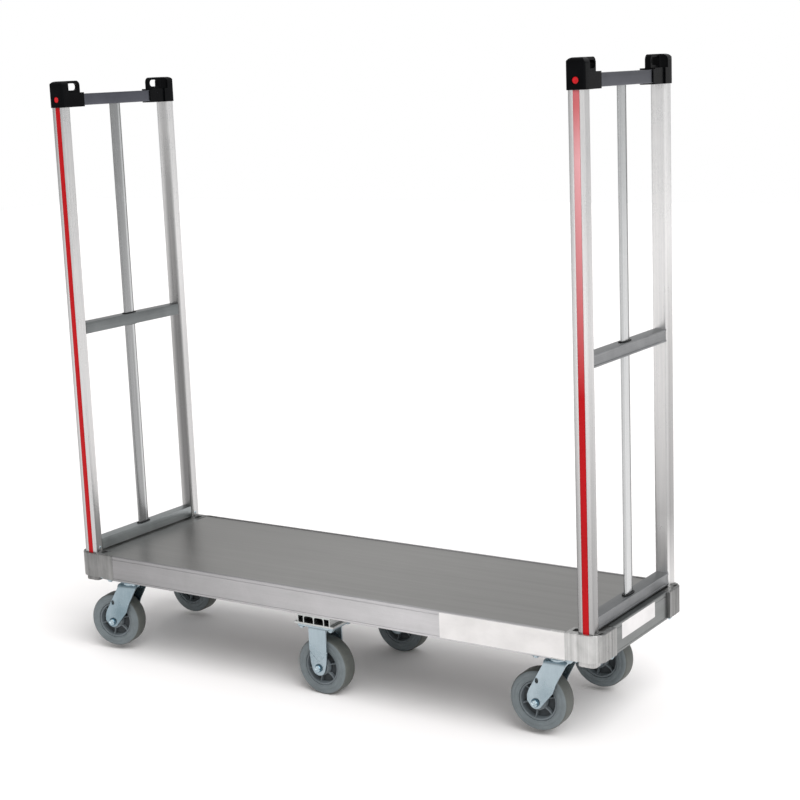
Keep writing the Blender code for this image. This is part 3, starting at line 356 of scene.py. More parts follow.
def make_materials():
    """Every finish by name. Colours are as seen on screen, darkest and lightest."""
    looks = {
        "rail_X": metal("rail_aluminium_x", "X", (184, 184, 185), (204, 203, 205), 0.33, shades=RAIL_SHADES),
        # The end rails: a darker copy of the rail finish, painted shade
        "rail_Y": metal("rail_aluminium_y", "Y", (104, 107, 107), (136, 139, 138), 0.3),
        "riser": metal("riser_aluminium", "Y", (176, 180, 179), (200, 203, 202), 0.3),
        "deck": metal("deck_aluminium", "X", (164, 163, 161), (181, 180, 178), 0.34, 0.45, 0.25, DECK_SHADES),
        "bar_right": metal("bar_aluminium", "Y", (108, 110, 112), (142, 144, 146), 0.3),
        # A lighter copy of the bar finish for the left frame, with painted shade
        "bar_left": metal(
            "bar_aluminium_left", "Y", (136, 141, 142), (170, 175, 176), 0.3, shades=BAR_SHADES),
        "top_bar": metal("top_bar_finish", "Y", (80, 82, 88), (96, 98, 106), 0.34),
        "cast": cast_metal("cast_aluminium", (164, 165, 164), (214, 214, 213)),
        # A darker copy of the cast finish for the bosses: painted shade under the casting
        "cast_low": cast_metal("cast_aluminium_boss_painted_shade", (148, 149, 148), (198, 198, 197)),
        "zinc": zinc_metal("zinc_plate", (142, 158, 166), (178, 192, 199)),
        # A darker copy of the zinc for the left forks: painted shade
        "zinc_shaded_left": zinc_metal("zinc_plate_painted_shade", (112, 132, 141), (158, 174, 182)),
        # Painted highlights: fine specks from dark to near white stand in for glints on bolts, nuts and
        # rivets, over the zinc's own clouding
        "bolt": zinc_metal("bolt_zinc", (62, 96, 114), (222, 238, 244), 170.0),
        # A dark zinc for the washers: painted shade round each nut
        "washer_shaded": zinc_metal("washer_zinc_painted_shade", (40, 66, 80), (92, 118, 132)),
        "black": moulded("black_plastic", (4, 4, 5), (9, 10, 12), 0.22, sheen=0.06),
        "red": moulded("red_plastic", (186, 10, 20), (202, 18, 28), 0.38, 800.0, 0.1),
        "hub": moulded("hub_plastic", (92, 99, 103), (112, 119, 123), 0.45),
        # A darker copy of the hub plastic for the web: painted shade in the hub's recess
        "hub_web_shaded": moulded("hub_recess_painted_shade", (47, 52, 55), (66, 71, 74), 0.55),
        "grommet": moulded("grommet_plastic", (9, 9, 10), (18, 18, 20), 0.42),
        "stripe_left": stripe_film("red_stripe"),
        # The right frame's stripes carry a painted reflection
        "stripe_right": stripe_film("red_stripe_faded", (224, 168, 172)),
        "rubber": rubber("tyre_rubber", (93, 101, 104), (111, 119, 122), (138, 143, 144)),
        "tread": rubber("tread_rubber", (74, 77, 74), (92, 95, 91), (112, 114, 109)),
        "film": blank_film("blank_film", (214, 212, 211), (224, 222, 221)),
        # The end film: a darker copy of the film finish, painted shade
        "film_end": blank_film("blank_film_end", (204, 202, 202), (214, 212, 212)),
        "floor": floor_paper("floor_paper", (0.955, 0.936, 0.932, 1.0), (0.968, 0.95, 0.946, 1.0)),
    }
    # Lit and shaded copies of the post finish, one for each post, each with its painted shade
    for tag, tone in POST_TONES.items():
        dark, light = (tone + 6, tone + 7, tone + 8), (tone + 32, tone + 31, tone + 30)
        looks[f"post_{tag}"] = metal(
            f"post_aluminium_{tag}", "Z", dark, light, 0.28, patch_share=0.14, shades=POST_SHADES[tag])
    # A copy of the slat finish for each frame, with its painted reflections
    for end_name, shades in SLAT_SHADES.items():
        looks[f"slat_{end_name}"] = metal(
            f"slat_aluminium_{end_name}", "Z", (186, 188, 189), (214, 216, 217), 0.24, patch_share=0.14,
            shades=shades)
    return looks


LOOKS = make_materials()


# Outlines

def polar(centre, radius, degrees):
    turn = math.radians(degrees)
    return centre[0] + radius * math.cos(turn), centre[1] + radius * math.sin(turn)


def arc(centre, radius, start, end, steps):
    """Points on a circle; start and end are in degrees."""
    return [polar(centre, radius, start + (end - start) * step / steps) for step in range(steps + 1)]


def circle(radius, segments, centre=(0.0, 0.0), turn=0.0):
    return arc(centre, radius, turn, turn + 360.0 * (segments - 1) / segments, segments - 1)


def rounded_box(low, high, radii, steps=6):
    """Rectangle with one corner radius, or four that go anticlockwise from the low corner."""
    if not isinstance(radii, tuple):
        radii = (radii,) * 4
    corners = (
        (low, (1, 1), 180.0), ((high[0], low[1]), (-1, 1), 270.0),
        (high, (-1, -1), 0.0), ((low[0], high[1]), (1, -1), 90.0),
    )
    points = []
    for (corner, inward, start), radius in zip(corners, radii):
        centre = (corner[0] + inward[0] * radius, corner[1] + inward[1] * radius)
        points += arc(centre, radius, start, start + 90.0, steps) if radius else [corner]
    return points


def mirrored(points, side_u, side_v):
    """An outline mirrored where a side is -1, in the same sense of turn as before."""
    turned_points = [(side_u * u, side_v * v) for u, v in points]
    return turned_points if side_u * side_v > 0 else turned_points[::-1]


def shifted(points, along_u, along_v=0.0):
    return [(u + along_u, v + along_v) for u, v in points]


def with_mirror_image(points):
    """Points, then the same ones mirrored to -u in reverse."""
    return points + [(-u, v) for u, v in reversed(points)]


def followed(points):
    """Each point of a closed outline with the next one."""
    return zip(points, points[1:] + points[:1])


def neighbours(points):
    """Each point of a closed outline with the ones before and after it, as vectors."""
    places = [Vector(point) for point in points]
    return zip(places[-1:] + places[:-1], places, places[1:] + places[:1])


def signed_area(points):
    return sum(u * next_v - next_u * v for (u, v), (next_u, next_v) in followed(points)) / 2


def inset(points, amount):
    """Moves an anticlockwise outline inwards by amount, corner by corner."""
    moved = []
    for before, here, after in neighbours(points):
        first = (here - before).normalized()
        second = (after - here).normalized()
        square = Vector((-first.y, first.x))
        normal = Vector((-(first.y + second.y), first.x + second.x))
        if normal.length < 1e-9:
            normal = square.copy()
        normal.normalize()
        shift = here + normal * (amount / max(normal.dot(square), 0.45))
        moved.append((shift.x, shift.y))
    return moved


def rounded_corners(points, radius, steps=3):
    """Rounds every corner of an outline that turns by more than 30 degrees."""
    result = []
    for point, (before, here, after) in zip(points, neighbours(points)):
        to_before, to_after = before - here, after - here
        angle = to_before.angle(to_after)
        if angle > math.radians(150):
            result.append(point)
            continue
        reach = min(radius / math.tan(angle / 2), to_before.length * 0.45, to_after.length * 0.45)
        start = here + to_before.normalized() * reach
        end = here + to_after.normalized() * reach
        for step in range(steps + 1):
            share = step / steps
            mixed = start * (1 - share) ** 2 + here * 2 * share * (1 - share) + end * share ** 2
            result.append((mixed.x, mixed.y))
    return result


class Corner:
    """One of the truck's four corners, with the signs that mirror an outline to it."""

    def __init__(self, side_name, end_name):
        self.tag = f"{side_name}_{end_name}"
        self.end_name = end_name
        self.side = SIDES[side_name]
        self.end = ENDS[end_name]
        self.frame = f"frame_{end_name}"

    def mirrored(self, outline):
        return mirrored(outline, self.end, self.side)


CORNERS = [Corner(side_name, end_name) for side_name in SIDES for end_name in ENDS]


# Meshes

AXES = {"X": lambda u, v, w: (w, u, v), "Y": lambda u, v, w: (u, w, v), "Z": lambda u, v, w: (u, v, w)}


def add_band(bm, first, second, closed=True, material=0):
    """Faces between two rows of as many points, also from the last to the first where they close."""
    pairs = list(zip(followed(first), followed(second)))
    for (low, next_low), (high, next_high) in pairs if closed else pairs[:-1]:
        bm.faces.new((low, next_low, next_high, high)).material_index = material


def fill_end(bm, loops, material):
    """Closes a prism's end with one face, or with triangles where it has holes."""
    if len(loops) == 1:
        bm.faces.new(loops[0]).material_index = material
        return
    edges = [bm.edges.get(pair) for loop in loops for pair in followed(loop)]
    filled = bmesh.ops.triangle_fill(bm, use_beauty=True, use_dissolve=False, edges=edges)
    for part in filled["geom"]:
        if isinstance(part, bmesh.types.BMFace):
            part.material_index = material


def add_block(bm, axis, outline, start, end, holes=(), edge=0.0, steps=3, material=0):
    """A prism with rounded end edges and, if wanted, holes that run right through."""
    start, end = sorted((start, end))
    loops = [outline if signed_area(outline) > 0 else outline[::-1]]
    loops += [hole if signed_area(hole) < 0 else hole[::-1] for hole in holes]
    rings = [(0.0, 0.0)]
    if edge:
        turns = [math.pi / 2 * (1 - step / steps) for step in range(steps + 1)]
        rings = [(edge * (1 - math.cos(turn)), edge * (1 - math.sin(turn))) for turn in turns]
    levels = [(inward, start + rise) for inward, rise in rings]
    levels += [(inward, end - rise) for inward, rise in reversed(rings)]
    grid = []
    for inward, height in levels:
        moved = [inset(loop, inward) if inward else loop for loop in loops]
        grid.append([[bm.verts.new(AXES[axis](u, v, height)) for u, v in loop] for loop in moved])
    for low, high in zip(grid, grid[1:]):
        for low_loop, high_loop in zip(low, high):
            add_band(bm, low_loop, high_loop, material=material)
    for loops in (grid[0], grid[-1]):
        fill_end(bm, loops, material)


def add_turned(bm, profile, segments, ring=False):
    """Turns (radius, height) points about Z. A ring joins its last point to its first."""
    rings = []
    for radius, height in profile:
        rings.append([bm.verts.new((u, v, height)) for u, v in circle(radius, segments)])
    for low, high in zip(rings, rings[1:] + rings[:1] if ring else rings[1:]):
        add_band(bm, low, high)
    if not ring:
        bm.faces.new(rings[0])
        bm.faces.new(rings[-1])


def smooth(mesh, angle=SHARP_ANGLE):
    mesh.shade_smooth()
    mesh.set_sharp_from_angle(angle=math.radians(angle))


def finish_mesh(name, bm, *looks, angle=SHARP_ANGLE, place=None):
    bmesh.ops.recalc_face_normals(bm, faces=bm.faces)
    mesh = bpy.data.meshes.new(name)
    bm.to_mesh(mesh)
    bm.free()
    for look in looks:
        mesh.materials.append(LOOKS[look])
    smooth(mesh, angle)
    piece = bpy.data.objects.new(name, mesh)
    bpy.context.scene.collection.objects.link(piece)
    if place is not None:
        piece.matrix_world = place
    return piece


def block(name, axis, outline, start, end, *looks, **options):
    bm = bmesh.new()
    add_block(bm, axis, outline, start, end, **options)
    return finish_mesh(name, bm, *looks)


def turned(name, profile, segments, look, place, angle=SHARP_ANGLE):
    bm = bmesh.new()
    add_turned(bm, profile, segments)
    return finish_mesh(name, bm, look, angle=angle, place=place)


def bevelled(piece, width, segments):
    modifier = piece.modifiers.new("edge", "BEVEL")
    modifier.width = width
    modifier.segments = segments
    modifier.limit_method = "ANGLE"
    modifier.angle_limit = math.radians(BEVEL_ANGLE)


def apply_modifiers(piece):
    """Replaces a piece's mesh by what its modifiers make of it."""
    bpy.context.view_layer.update()
    evaluated = piece.evaluated_get(bpy.context.evaluated_depsgraph_get())
    mesh = bpy.data.meshes.new_from_object(evaluated)
    piece.modifiers.clear()
    old = piece.data
    piece.data = mesh
    bpy.data.meshes.remove(old)


def combine(piece, tool, operation):
    """Cuts or joins with a tool now, so a bevel after it sees the final shape."""
    modifier = piece.modifiers.new("cut", "BOOLEAN")
    modifier.operation = operation
    modifier.solver = "EXACT"
    modifier.object = tool
    apply_modifiers(piece)
    bpy.data.objects.remove(tool)
    smooth(piece.data)


def cut(piece, *shape):
    """Cuts away a block given by its axis, outline and two ends."""
    combine(piece, block("tool", *shape), "DIFFERENCE")


def join(piece, *shape):
    """Joins a block given by its axis, outline and two ends."""
    combine(piece, block("tool", *shape), "UNION")


def settle(piece, body, slot, *nodes):
    """Attaches a piece to what it rides on and hides the solids it stands for; its slot is not used."""
    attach(piece, body)
    if nodes:
        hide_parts(*nodes)


def add_prism(name, look, role, *shape, **options):
    """A block that needs no further work. Its role holds what settle is given."""
    settle(block(name, *shape, look, **options), *role)


def turned_at(place, degrees, axis):
    return Matrix.Translation(place) @ Matrix.Rotation(math.radians(degrees), 4, axis)


# Rails

# The fine grooves of a rail, as height and depth: from its foot up, and from its rim down
RAIL_FOOT = 0.0055
RAIL_RIM = 0.0085
GROOVE = 0.0008
FOOT_GROOVE = ((0.0, 0.0), (0.0006, GROOVE), (0.0012, GROOVE), (0.0018, 0.0))
RIM_GROOVE = ((-0.0026, 0.0), (-0.0018, GROOVE), (-0.0008, GROOVE), (0.0, 0.0))
DECK_CLEARANCE = 0.0002


def rail_profile(face, lip=RAIL_LIP, grooved=True):
    """Section of a rail, with a fine groove above its foot and one below its rim."""
    grooves = [(face - depth, RAIL_BOTTOM + RAIL_FOOT + rise) for rise, depth in FOOT_GROOVE]
    grooves += [(face - depth, RAIL_TOP - RAIL_RIM + rise) for rise, depth in RIM_GROOVE]
    crest = arc((face - RAIL_ROUND, RAIL_TOP - RAIL_ROUND), RAIL_ROUND, 0.0, 90.0, 4)
    above_deck = DECK_TOP + DECK_CLEARANCE
    brim = [(face - lip, above_deck), (face - RAIL_LIP, above_deck)] if lip > RAIL_LIP else []
    ledge = DECK_BOTTOM - GAP
    floor = RAIL_BOTTOM + RAIL_WALL
    inner, wall = face - RAIL_LEDGE, face - RAIL_WALL
    return [
        (face - RAIL_BREAK, RAIL_BOTTOM), (face, RAIL_BOTTOM + RAIL_BREAK),
        *(grooves if grooved else []), *crest,
        (face - lip + RAIL_BREAK, RAIL_TOP), (face - lip, RAIL_TOP - RAIL_BREAK),
        *brim, (face - RAIL_LIP, ledge),
        (inner, ledge), (inner, ledge - RAIL_SEAT), (wall, ledge - RAIL_SEAT), (wall, floor), (inner, floor),
        (inner, RAIL_BOTTOM),
    ]


def build_rails():
    """Side rails, each with the castings' smooth arms at its ends, and end rails."""
    for side_name, side in SIDES.items():
        outline = mirrored(rail_profile(RAIL_FACE_Y), side, 1)
        role = ("platform", "aluminium", f"side_rail_{side_name}")
        add_prism(
            f"rail_{side_name}", "rail_X", role, "X", outline, -RAIL_END_X, RAIL_END_X, edge=0.0003, steps=1)
        outline = mirrored(rail_profile(RAIL_FACE_Y, grooved=False), side, 1)
        for end_name, end in ENDS.items():
            reach = end * (RAIL_END_X + GAP / 2), end * (CASTING_INNER_X - GAP / 2)
            tag = f"{side_name}_{end_name}"
            add_prism(f"casting_arm_{tag}", "cast", ("platform", "cast"), "X", outline, *reach)
    reach = CASTING_INNER_Y - GAP
    for end_name, end in ENDS.items():
        # The end rails take the darker copy, painted shade
        outline = mirrored(rail_profile(END_RAIL_FACE_X, END_RAIL_LIP), end, 1)
        role = ("platform", "aluminium", f"end_rail_{end_name}")
        add_prism(f"rail_{end_name}", "rail_Y", role, "Y", outline, -reach, reach, edge=0.0004, steps=1)


# Low and high corner of each film on its rail's face, and its corner radius
FRONT_FILM = ((0.384, RAIL_BOTTOM + 0.0035), (0.7262, RAIL_TOP - 0.004), 0.001)
END_FILM = ((-0.108, 0.2495), (0.076, 0.2885), 0.0015)

# How far a film stands out of the face and reaches into it
FILM_RISE = 0.00025
FILM_SUNK = 0.0001


def build_films():
    """Blank pale films: a long one on the front rail and one on the right end rail."""
    role = ("platform", "aluminium")
    depth = -RAIL_FACE_Y - FILM_RISE, -RAIL_FACE_Y + FILM_SUNK
    add_prism("film_front", "film", role, "Y", rounded_box(*FRONT_FILM), *depth)
    depth = END_RAIL_FACE_X - FILM_SUNK, END_RAIL_FACE_X + FILM_RISE
    # The end film takes the darker copy, painted shade
    add_prism("film_right", "film_end", role, "X", rounded_box(*END_FILM), *depth)


# Corner castings

# Upright channels in the castings' faces: place, half width and depth
SIDE_CHANNELS = ((0.1665, 0.0035, 0.0007), (0.178, 0.0025, 0.0005), (0.1925, 0.0028, 0.0013))
FRONT_CHANNELS = ((0.759, 0.0042, 0.0012), (0.7385, 0.0016, 0.0005))
LOBE_VALLEY = 40.0
VALLEY_DEPTH = 0.0015
VALLEY_SPAN = 4.0
LOBE_RISE = 0.0011

# Slots beside the post: low and high corner in plan, and corner radius
STAKE_SLOTS = (((0.73705, 0.1984), (0.75205, 0.2184), 0.003), ((0.80305, 0.1984), (0.81055, 0.2184), 0.0025))
SLOT_DEPTH = 0.014
CASTING_BOLTS = ((0.7485, 0.2205), (0.811, 0.1635))

BOSS_RIM = 0.003
BOSS_POINT_GAP = 0.0009
BOSS_RIB_PITCH = 0.0098
BOSS_RIB_DEPTH = 0.0015


def lobed_radius(angle):
    """Radius of a casting's corner at an angle in degrees: two broad lobes with a valley between."""
    valley = VALLEY_DEPTH * math.exp(-((angle - LOBE_VALLEY) / VALLEY_SPAN) ** 2)
    share = angle / LOBE_VALLEY if angle < LOBE_VALLEY else (angle - LOBE_VALLEY) / (90.0 - LOBE_VALLEY)
    return CASTING_CORNER - valley - LOBE_RISE * (1 - math.sin(math.pi * share) ** 0.5)


def channel(half, depth):
    """Offset and depth of a channel's four points."""
    return ((-half, 0.0), (-half / 2, depth), (half / 2, depth), (half, 0.0))


def casting_outline():
    """Plan of the rear right casting, with broad lobes round its corner."""
    corner = (CASTING_FACE_X - CASTING_CORNER, RAIL_FACE_Y - CASTING_CORNER)
    points = [
        (CASTING_INNER_X, CASTING_CORE_Y), (CASTING_ARM_X, CASTING_CORE_Y),
        (CASTING_ARM_X, CASTING_INNER_Y), (CASTING_FACE_X, CASTING_INNER_Y),
    ]
    for place, half, depth in SIDE_CHANNELS:
        points += [(CASTING_FACE_X - sunk, place + offset) for offset, sunk in channel(half, depth)]
    points += [polar(corner, lobed_radius(angle), angle) for angle in range(0, 91, 2)]
    for place, half, depth in FRONT_CHANNELS:
        points += [(place + offset, RAIL_FACE_Y - sunk) for offset, sunk in reversed(channel(half, depth))]
    return points + [(CASTING_INNER_X, RAIL_FACE_Y)]


def post_outline(rim=0.0):
    """Section of the rear right post, grown by rim, without the groove in its outer face."""
    half = POST_WIDTH / 2 + rim
    low = (POST_X - half, POST_FACE_Y - POST_DEPTH - rim)
    high = (POST_X + half, POST_FACE_Y + rim)
    inner, outer = POST_INNER_ROUND + rim, POST_OUTER_ROUND + rim
    return rounded_box(low, high, (inner, inner, outer, outer))


def boss_outline():
    """Plan of the boss under the socket: a little wider than the post, with narrow upright ribs."""
    half = POST_WIDTH / 2 + BOSS_RIM
    low, high = (POST_X - half, POST_FACE_Y - POST_DEPTH - BOSS_RIM), (POST_X + half, POST_FACE_Y + BOSS_RIM)
    dense = []
    for first, second in followed(rounded_box(low, high, (0.01, 0.01, 0.012, 0.012), 8)):
        count = max(1, round(math.dist(first, second) / BOSS_POINT_GAP))
        run, rise = second[0] - first[0], second[1] - first[1]
        dense += [(first[0] + run * step / count, first[1] + rise * step / count) for step in range(count)]
    total = sum(math.dist(*pair) for pair in followed(dense))
    ribs = round(total / BOSS_RIB_PITCH)
    centre = Vector((POST_X, POST_Y))
    result = []
    travelled = 0.0
    for point, follower in followed(dense):
        wave = abs(math.sin(math.pi * ribs * travelled / total))
        inward = (centre - Vector(point)).normalized() * BOSS_RIB_DEPTH * (1 - wave ** 0.4)
        result.append((point[0] + inward.x, point[1] + inward.y))
        travelled += math.dist(point, follower)
    return result


def build_casting(corner):
    outline = corner.mirrored(casting_outline())
    casting = block(
        f"casting_{corner.tag}", "Z", outline, CASTING_BOTTOM, CASTING_TOP, "cast", edge=CASTING_EDGE)
    # The boss takes the darker cast copy, painted shade under the casting
    outline = corner.mirrored(boss_outline())
    boss = block(
        f"casting_boss_{corner.tag}", "Z", outline, BOSS_BOTTOM, CASTING_BOTTOM + 0.001, "cast_low",
        edge=CASTING_EDGE)
    socket = corner.mirrored(post_outline(0.0006))
    for piece in (casting, boss):
        cut(piece, "Z", socket, SOCKET_FLOOR, RAIL_TOP + OVERRUN)
    for low, high, radius in STAKE_SLOTS:
        slot = corner.mirrored(rounded_box(low, high, radius, 3))
        cut(casting, "Z", slot, CASTING_TOP - SLOT_DEPTH, RAIL_TOP + OVERRUN)
    settle(boss, "platform", "cast")
    settle(casting, "platform", "cast", f"corner_casting_{corner.tag}")


def add_hex_nut(bm, centre, radius, height):
    """A chamfered nut under a surface, with a thin washer above it and a stud's end below it."""
    base = centre[2]
    washer = circle(radius * 1.35, 28, centre)
    hexagon = rounded_corners(circle(radius, 6, centre, 15.0), radius * 0.12, 2)
    stud = circle(radius * 0.52, 20, centre)
    add_block(bm, "Z", washer, base, base - 0.0011, edge=0.0003, steps=2)
    add_block(bm, "Z", hexagon, base - 0.001, base - height, edge=0.0006, steps=2)
    add_block(bm, "Z", stud, base - height * 0.9, base - height - 0.0022, edge=0.0007, steps=2)


def build_casting_bolts(corner):
    bm = bmesh.new()
    for x, y in CASTING_BOLTS:
        add_hex_nut(bm, (corner.end * x, corner.side * y, CASTING_BOTTOM - 0.0002), 0.0052, 0.0046)
    settle(finish_mesh(f"casting_bolts_{corner.tag}", bm, "bolt"), "platform", "zinc")


# End frames

TOP_BAR_ROUND = 0.0016
BAR_BREAK = 0.0008
POST_HOLLOW = ((POST_X - 0.018, POST_Y - 0.0123), (POST_X + 0.018, POST_Y + 0.0093), 0.004, 3)
GROMMET_RIM = 0.0048
GROMMET_RISE = 0.0024
GROMMET_HEIGHTS = {
    "mid": BAR_TOPS["mid"], "bottom": BAR_TOPS["bottom"], "under": BAR_TOPS["mid"] - BAR_HEIGHT - 0.0022}
STRIPE_HALF = 0.0077
STRIPE_GROOVE_HALF = 0.00815
STRIPE_GROOVE_DEPTH = 0.0018
RIVET_PLACE = (POST_X - POST_WIDTH / 2, 0.2105, 0.3045)
RIVET_PROFILE = ((0.0036, -0.001), (0.0036, 0.0), (0.0031, 0.0007), (0.0018, 0.0012), (0.0006, 0.0013))


def bar_profile(top, recessed):
    """Section of a bar about the frame's middle; the lower bars have a shallow recess outside."""
    low = top - BAR_HEIGHT
    face = BAR_HALF_DEPTH
    if not recessed:
        return rounded_box((-face, low), (face, top), TOP_BAR_ROUND, 4)
    sunk = face - BAR_RECESS
    outline = [
        (-face, low), (face, low), (face, low + BAR_RIM), (sunk, low + BAR_RIM + BAR_BREAK),
        (sunk, top - BAR_RIM - BAR_BREAK), (face, top - BAR_RIM), (face, top), (-face, top),
    ]
    return rounded_corners(outline, BAR_BREAK)


def slat_outline(rim=0.0):
    """Flat oval section of the centre slat, grown by rim."""
    def swollen(value, half, power):
        return (half + rim) * math.copysign(abs(value) ** power, value)
    turns = [math.tau * index / 40 for index in range(40)]
    return [
        (swollen(math.cos(turn), SLAT_HALF_DEPTH, 0.8), swollen(math.sin(turn), SLAT_HALF_WIDTH, 0.62))
        for turn in turns]


def build_bars(end_name, end):
    for name, top in BAR_TOPS.items():
        outline = shifted(mirrored(bar_profile(top, name != "top"), end, 1), end * POST_X)
        # The left frame's lower bars take the lighter copy with painted shade
        look = "top_bar" if name == "top" else f"bar_{end_name}"
        role = (f"frame_{end_name}", "bar", f"{name}_bar_{end_name}")
        add_prism(f"bar_{name}_{end_name}", look, role, "Y", outline, -BAR_END_Y, BAR_END_Y)


def build_slat(end_name, end):
    """The centre slat, with a black oval collar round it wherever it passes into a bar."""
    outer, inner = (shifted(slat_outline(rim), end * POST_X) for rim in (GROMMET_RIM, 0.0002))
    for name, height in GROMMET_HEIGHTS.items():
        add_prism(
            f"grommet_{name}_{end_name}", "grommet", (f"frame_{end_name}", "black"), "Z", outer,
            height - 0.0002, height + GROMMET_RISE, holes=[inner], edge=0.0007)
    bottom = BAR_TOPS["bottom"] - BAR_HEIGHT + 0.0035
    top = BAR_TOPS["top"] - BAR_HEIGHT - GAP
    outline = shifted(slat_outline(), end * POST_X)
    role = (f"frame_{end_name}", "aluminium", f"centre_slat_{end_name}")
    add_prism(f"slat_{end_name}", f"slat_{end_name}", role, "Z", outline, bottom, top)


def grooved_post_outline():
    """The post's section with the groove for the red stripe."""
    points = post_outline()
    half = STRIPE_GROOVE_HALF
    groove = with_mirror_image([(half + 0.0008, 0.0), (half, -0.0006), (half, -STRIPE_GROOVE_DEPTH)])
    outer_face = len(points) * 3 // 4
    return points[:outer_face] + shifted(groove, POST_X, POST_FACE_Y) + points[outer_face:]


def build_post(corner):
    """A hollow post with its red stripe, and a rivet on the deck side just above the bottom bar."""
    tag = corner.tag
    outline = corner.mirrored(grooved_post_outline())
    role = (corner.frame, "aluminium", f"post_{tag}")
    # Each post takes its own lit or shaded copy of the post finish
    add_prism(
        f"frame_post_{tag}", f"post_{tag}", role, "Z", outline, POST_BOTTOM, POST_TOP,
        holes=[corner.mirrored(rounded_box(*POST_HOLLOW))])
    low, high = (POST_X - STRIPE_HALF, POST_FACE_Y - 0.0016), (POST_X + STRIPE_HALF, POST_FACE_Y + 0.0002)
    outline = corner.mirrored(rounded_box(low, high, (0, 0, 0.0008, 0.0008), 3))
    role = (corner.frame, "red", f"post_stripe_{tag}")
    # The right frame's stripes take the copy with a painted reflection
    add_prism(
        f"stripe_{tag}", f"stripe_{corner.end_name}", role, "Z", outline, POST_BOTTOM, CAP_BOTTOM - GAP)
    x, y, z = RIVET_PLACE
    place = turned_at((corner.end * x, corner.side * y, z), -90.0 * corner.end, "Y")
    settle(turned(f"rivet_{tag}", RIVET_PROFILE, 20, "bolt", place), corner.frame, "zinc")


# Caps

CAP_HALF = 0.0238
CAP_FACE_Y = 0.2305
CAP_STEP_Y = 0.204
CAP_COLUMN_Y = 0.1905
CAP_CORNER = 0.006
CAP_CROWN = 0.013
CAP_REACH = 0.05
CAP_OVERLAP = 0.002
CAP_BEVEL = 0.0012
CREST_ROUND = 0.0145
CREST_RUN = 0.004
SLEEVE_END_Y = 0.141
SLEEVE_HALF = 0.0198
SLEEVE_TOP = 1.5722
TONGUE_REACH = 0.01
TONGUE_STEP = 0.0028
FLANGE_HALF = 0.0075
FLANGE_END_Y = 0.143
FLANGE_CORNER = 0.0135
CAP_FILLET = CAP_HALF - FLANGE_HALF
HOOK_LOW = (0.1465, 1.5785)
HOOK_HIGH = (0.1872, 1.597)
HOOK_ROUND = 0.0085
PLUG_Z = 1.5548
PLUG_SUNK = 0.0022
RECESS_RADIUS = 0.0088
PLUG_PROFILE = (
    (0.0078, -0.0005), (0.0078, 0.0008), (0.0073, 0.0014), (0.006, 0.0018), (0.0042, 0.0018),
    (0.003, 0.0014), (0.0012, 0.0012), (0.0003, 0.0012))


def cap_plan():
    """Plan of a rear cap's column, whose flange springs from it in a hollow curve on each side."""
    column = rounded_box((-CAP_HALF, CAP_STEP_Y), (CAP_HALF, CAP_FACE_Y), (0, 0, CAP_CORNER, CAP_CORNER), 8)
    hollow = arc((CAP_HALF, CAP_STEP_Y - CAP_FILLET), CAP_FILLET, 180.0, 90.0, 10)
    right = [(FLANGE_HALF, FLANGE_END_Y), *hollow]
    left = [(-u, v) for u, v in reversed(right)]
    return left + right + column[2:]


def top_edge_cutter(edge, radius, outward, over):
    """Outline that rounds off the cap's top at the edge that faces outward, 1 or -1."""
    x, z = edge - outward * radius, CAP_TOP - radius
    curve = arc((x, z), radius, 0.0 if outward > 0 else 180.0, 90.0, 12)
    return curve + [(x, CAP_TOP + over), (edge + outward * over, CAP_TOP + over), (edge + outward * over, z)]


def shape_cap(cap):
    """Rounds the column's top, then adds the root, sleeve and tongues and cuts hook hole and sockets."""
    reach = (-CAP_REACH, CAP_REACH)
    cut(cap, "X", top_edge_cutter(CAP_FACE_Y, CAP_CROWN, 1, 0.002), *reach)
    for side in (-1, 1):
        crest = top_edge_cutter(side * CAP_HALF, CREST_ROUND, side, 0.004)
        cut(cap, "Y", crest, CAP_COLUMN_Y - CREST_RUN, CAP_FACE_Y + CAP_REACH)
    cut(cap, "X", top_edge_cutter(FLANGE_END_Y, FLANGE_CORNER, -1, 0.002), *reach)
    root = rounded_box((-CAP_HALF, CAP_COLUMN_Y), (CAP_HALF, CAP_STEP_Y + CAP_OVERLAP), 0)
    join(cap, "Z", root, CAP_BOTTOM, SLEEVE_TOP)
    sleeve = rounded_box((SLEEVE_END_Y, CAP_BOTTOM), (CAP_COLUMN_Y + CAP_OVERLAP, SLEEVE_TOP), 0, 8)
    join(cap, "X", sleeve, -SLEEVE_HALF, SLEEVE_HALF)
    low = (SLEEVE_END_Y - TONGUE_REACH, CAP_BOTTOM + TONGUE_STEP)
    high = (SLEEVE_END_Y + CAP_OVERLAP, SLEEVE_TOP - TONGUE_STEP)
    bar_half = BAR_HALF_DEPTH + GAP
    join(cap, "X", rounded_box(low, high, (0.003, 0, 0, 0.003), 8), bar_half, SLEEVE_HALF)
    hook = rounded_box(HOOK_LOW, HOOK_HIGH, (HOOK_ROUND, 0.002, 0.002, HOOK_ROUND), 8)
    cut(cap, "X", hook, *reach)
    cut(cap, "Z", shifted(post_outline(0.0005), -POST_X), CAP_BOTTOM - OVERRUN, POST_TOP + 0.0005)
    low, high = (-bar_half, BAR_TOPS["top"] - BAR_HEIGHT - GAP), (bar_half, BAR_TOPS["top"] + GAP)
    cut(cap, "Y", rounded_box(low, high, 0), SLEEVE_END_Y - 2 * OVERRUN, POST_Y)
    cut(cap, "Y", circle(RECESS_RADIUS, 36, (0.0, PLUG_Z)), CAP_FACE_Y - PLUG_SUNK, CAP_FACE_Y + OVERRUN)


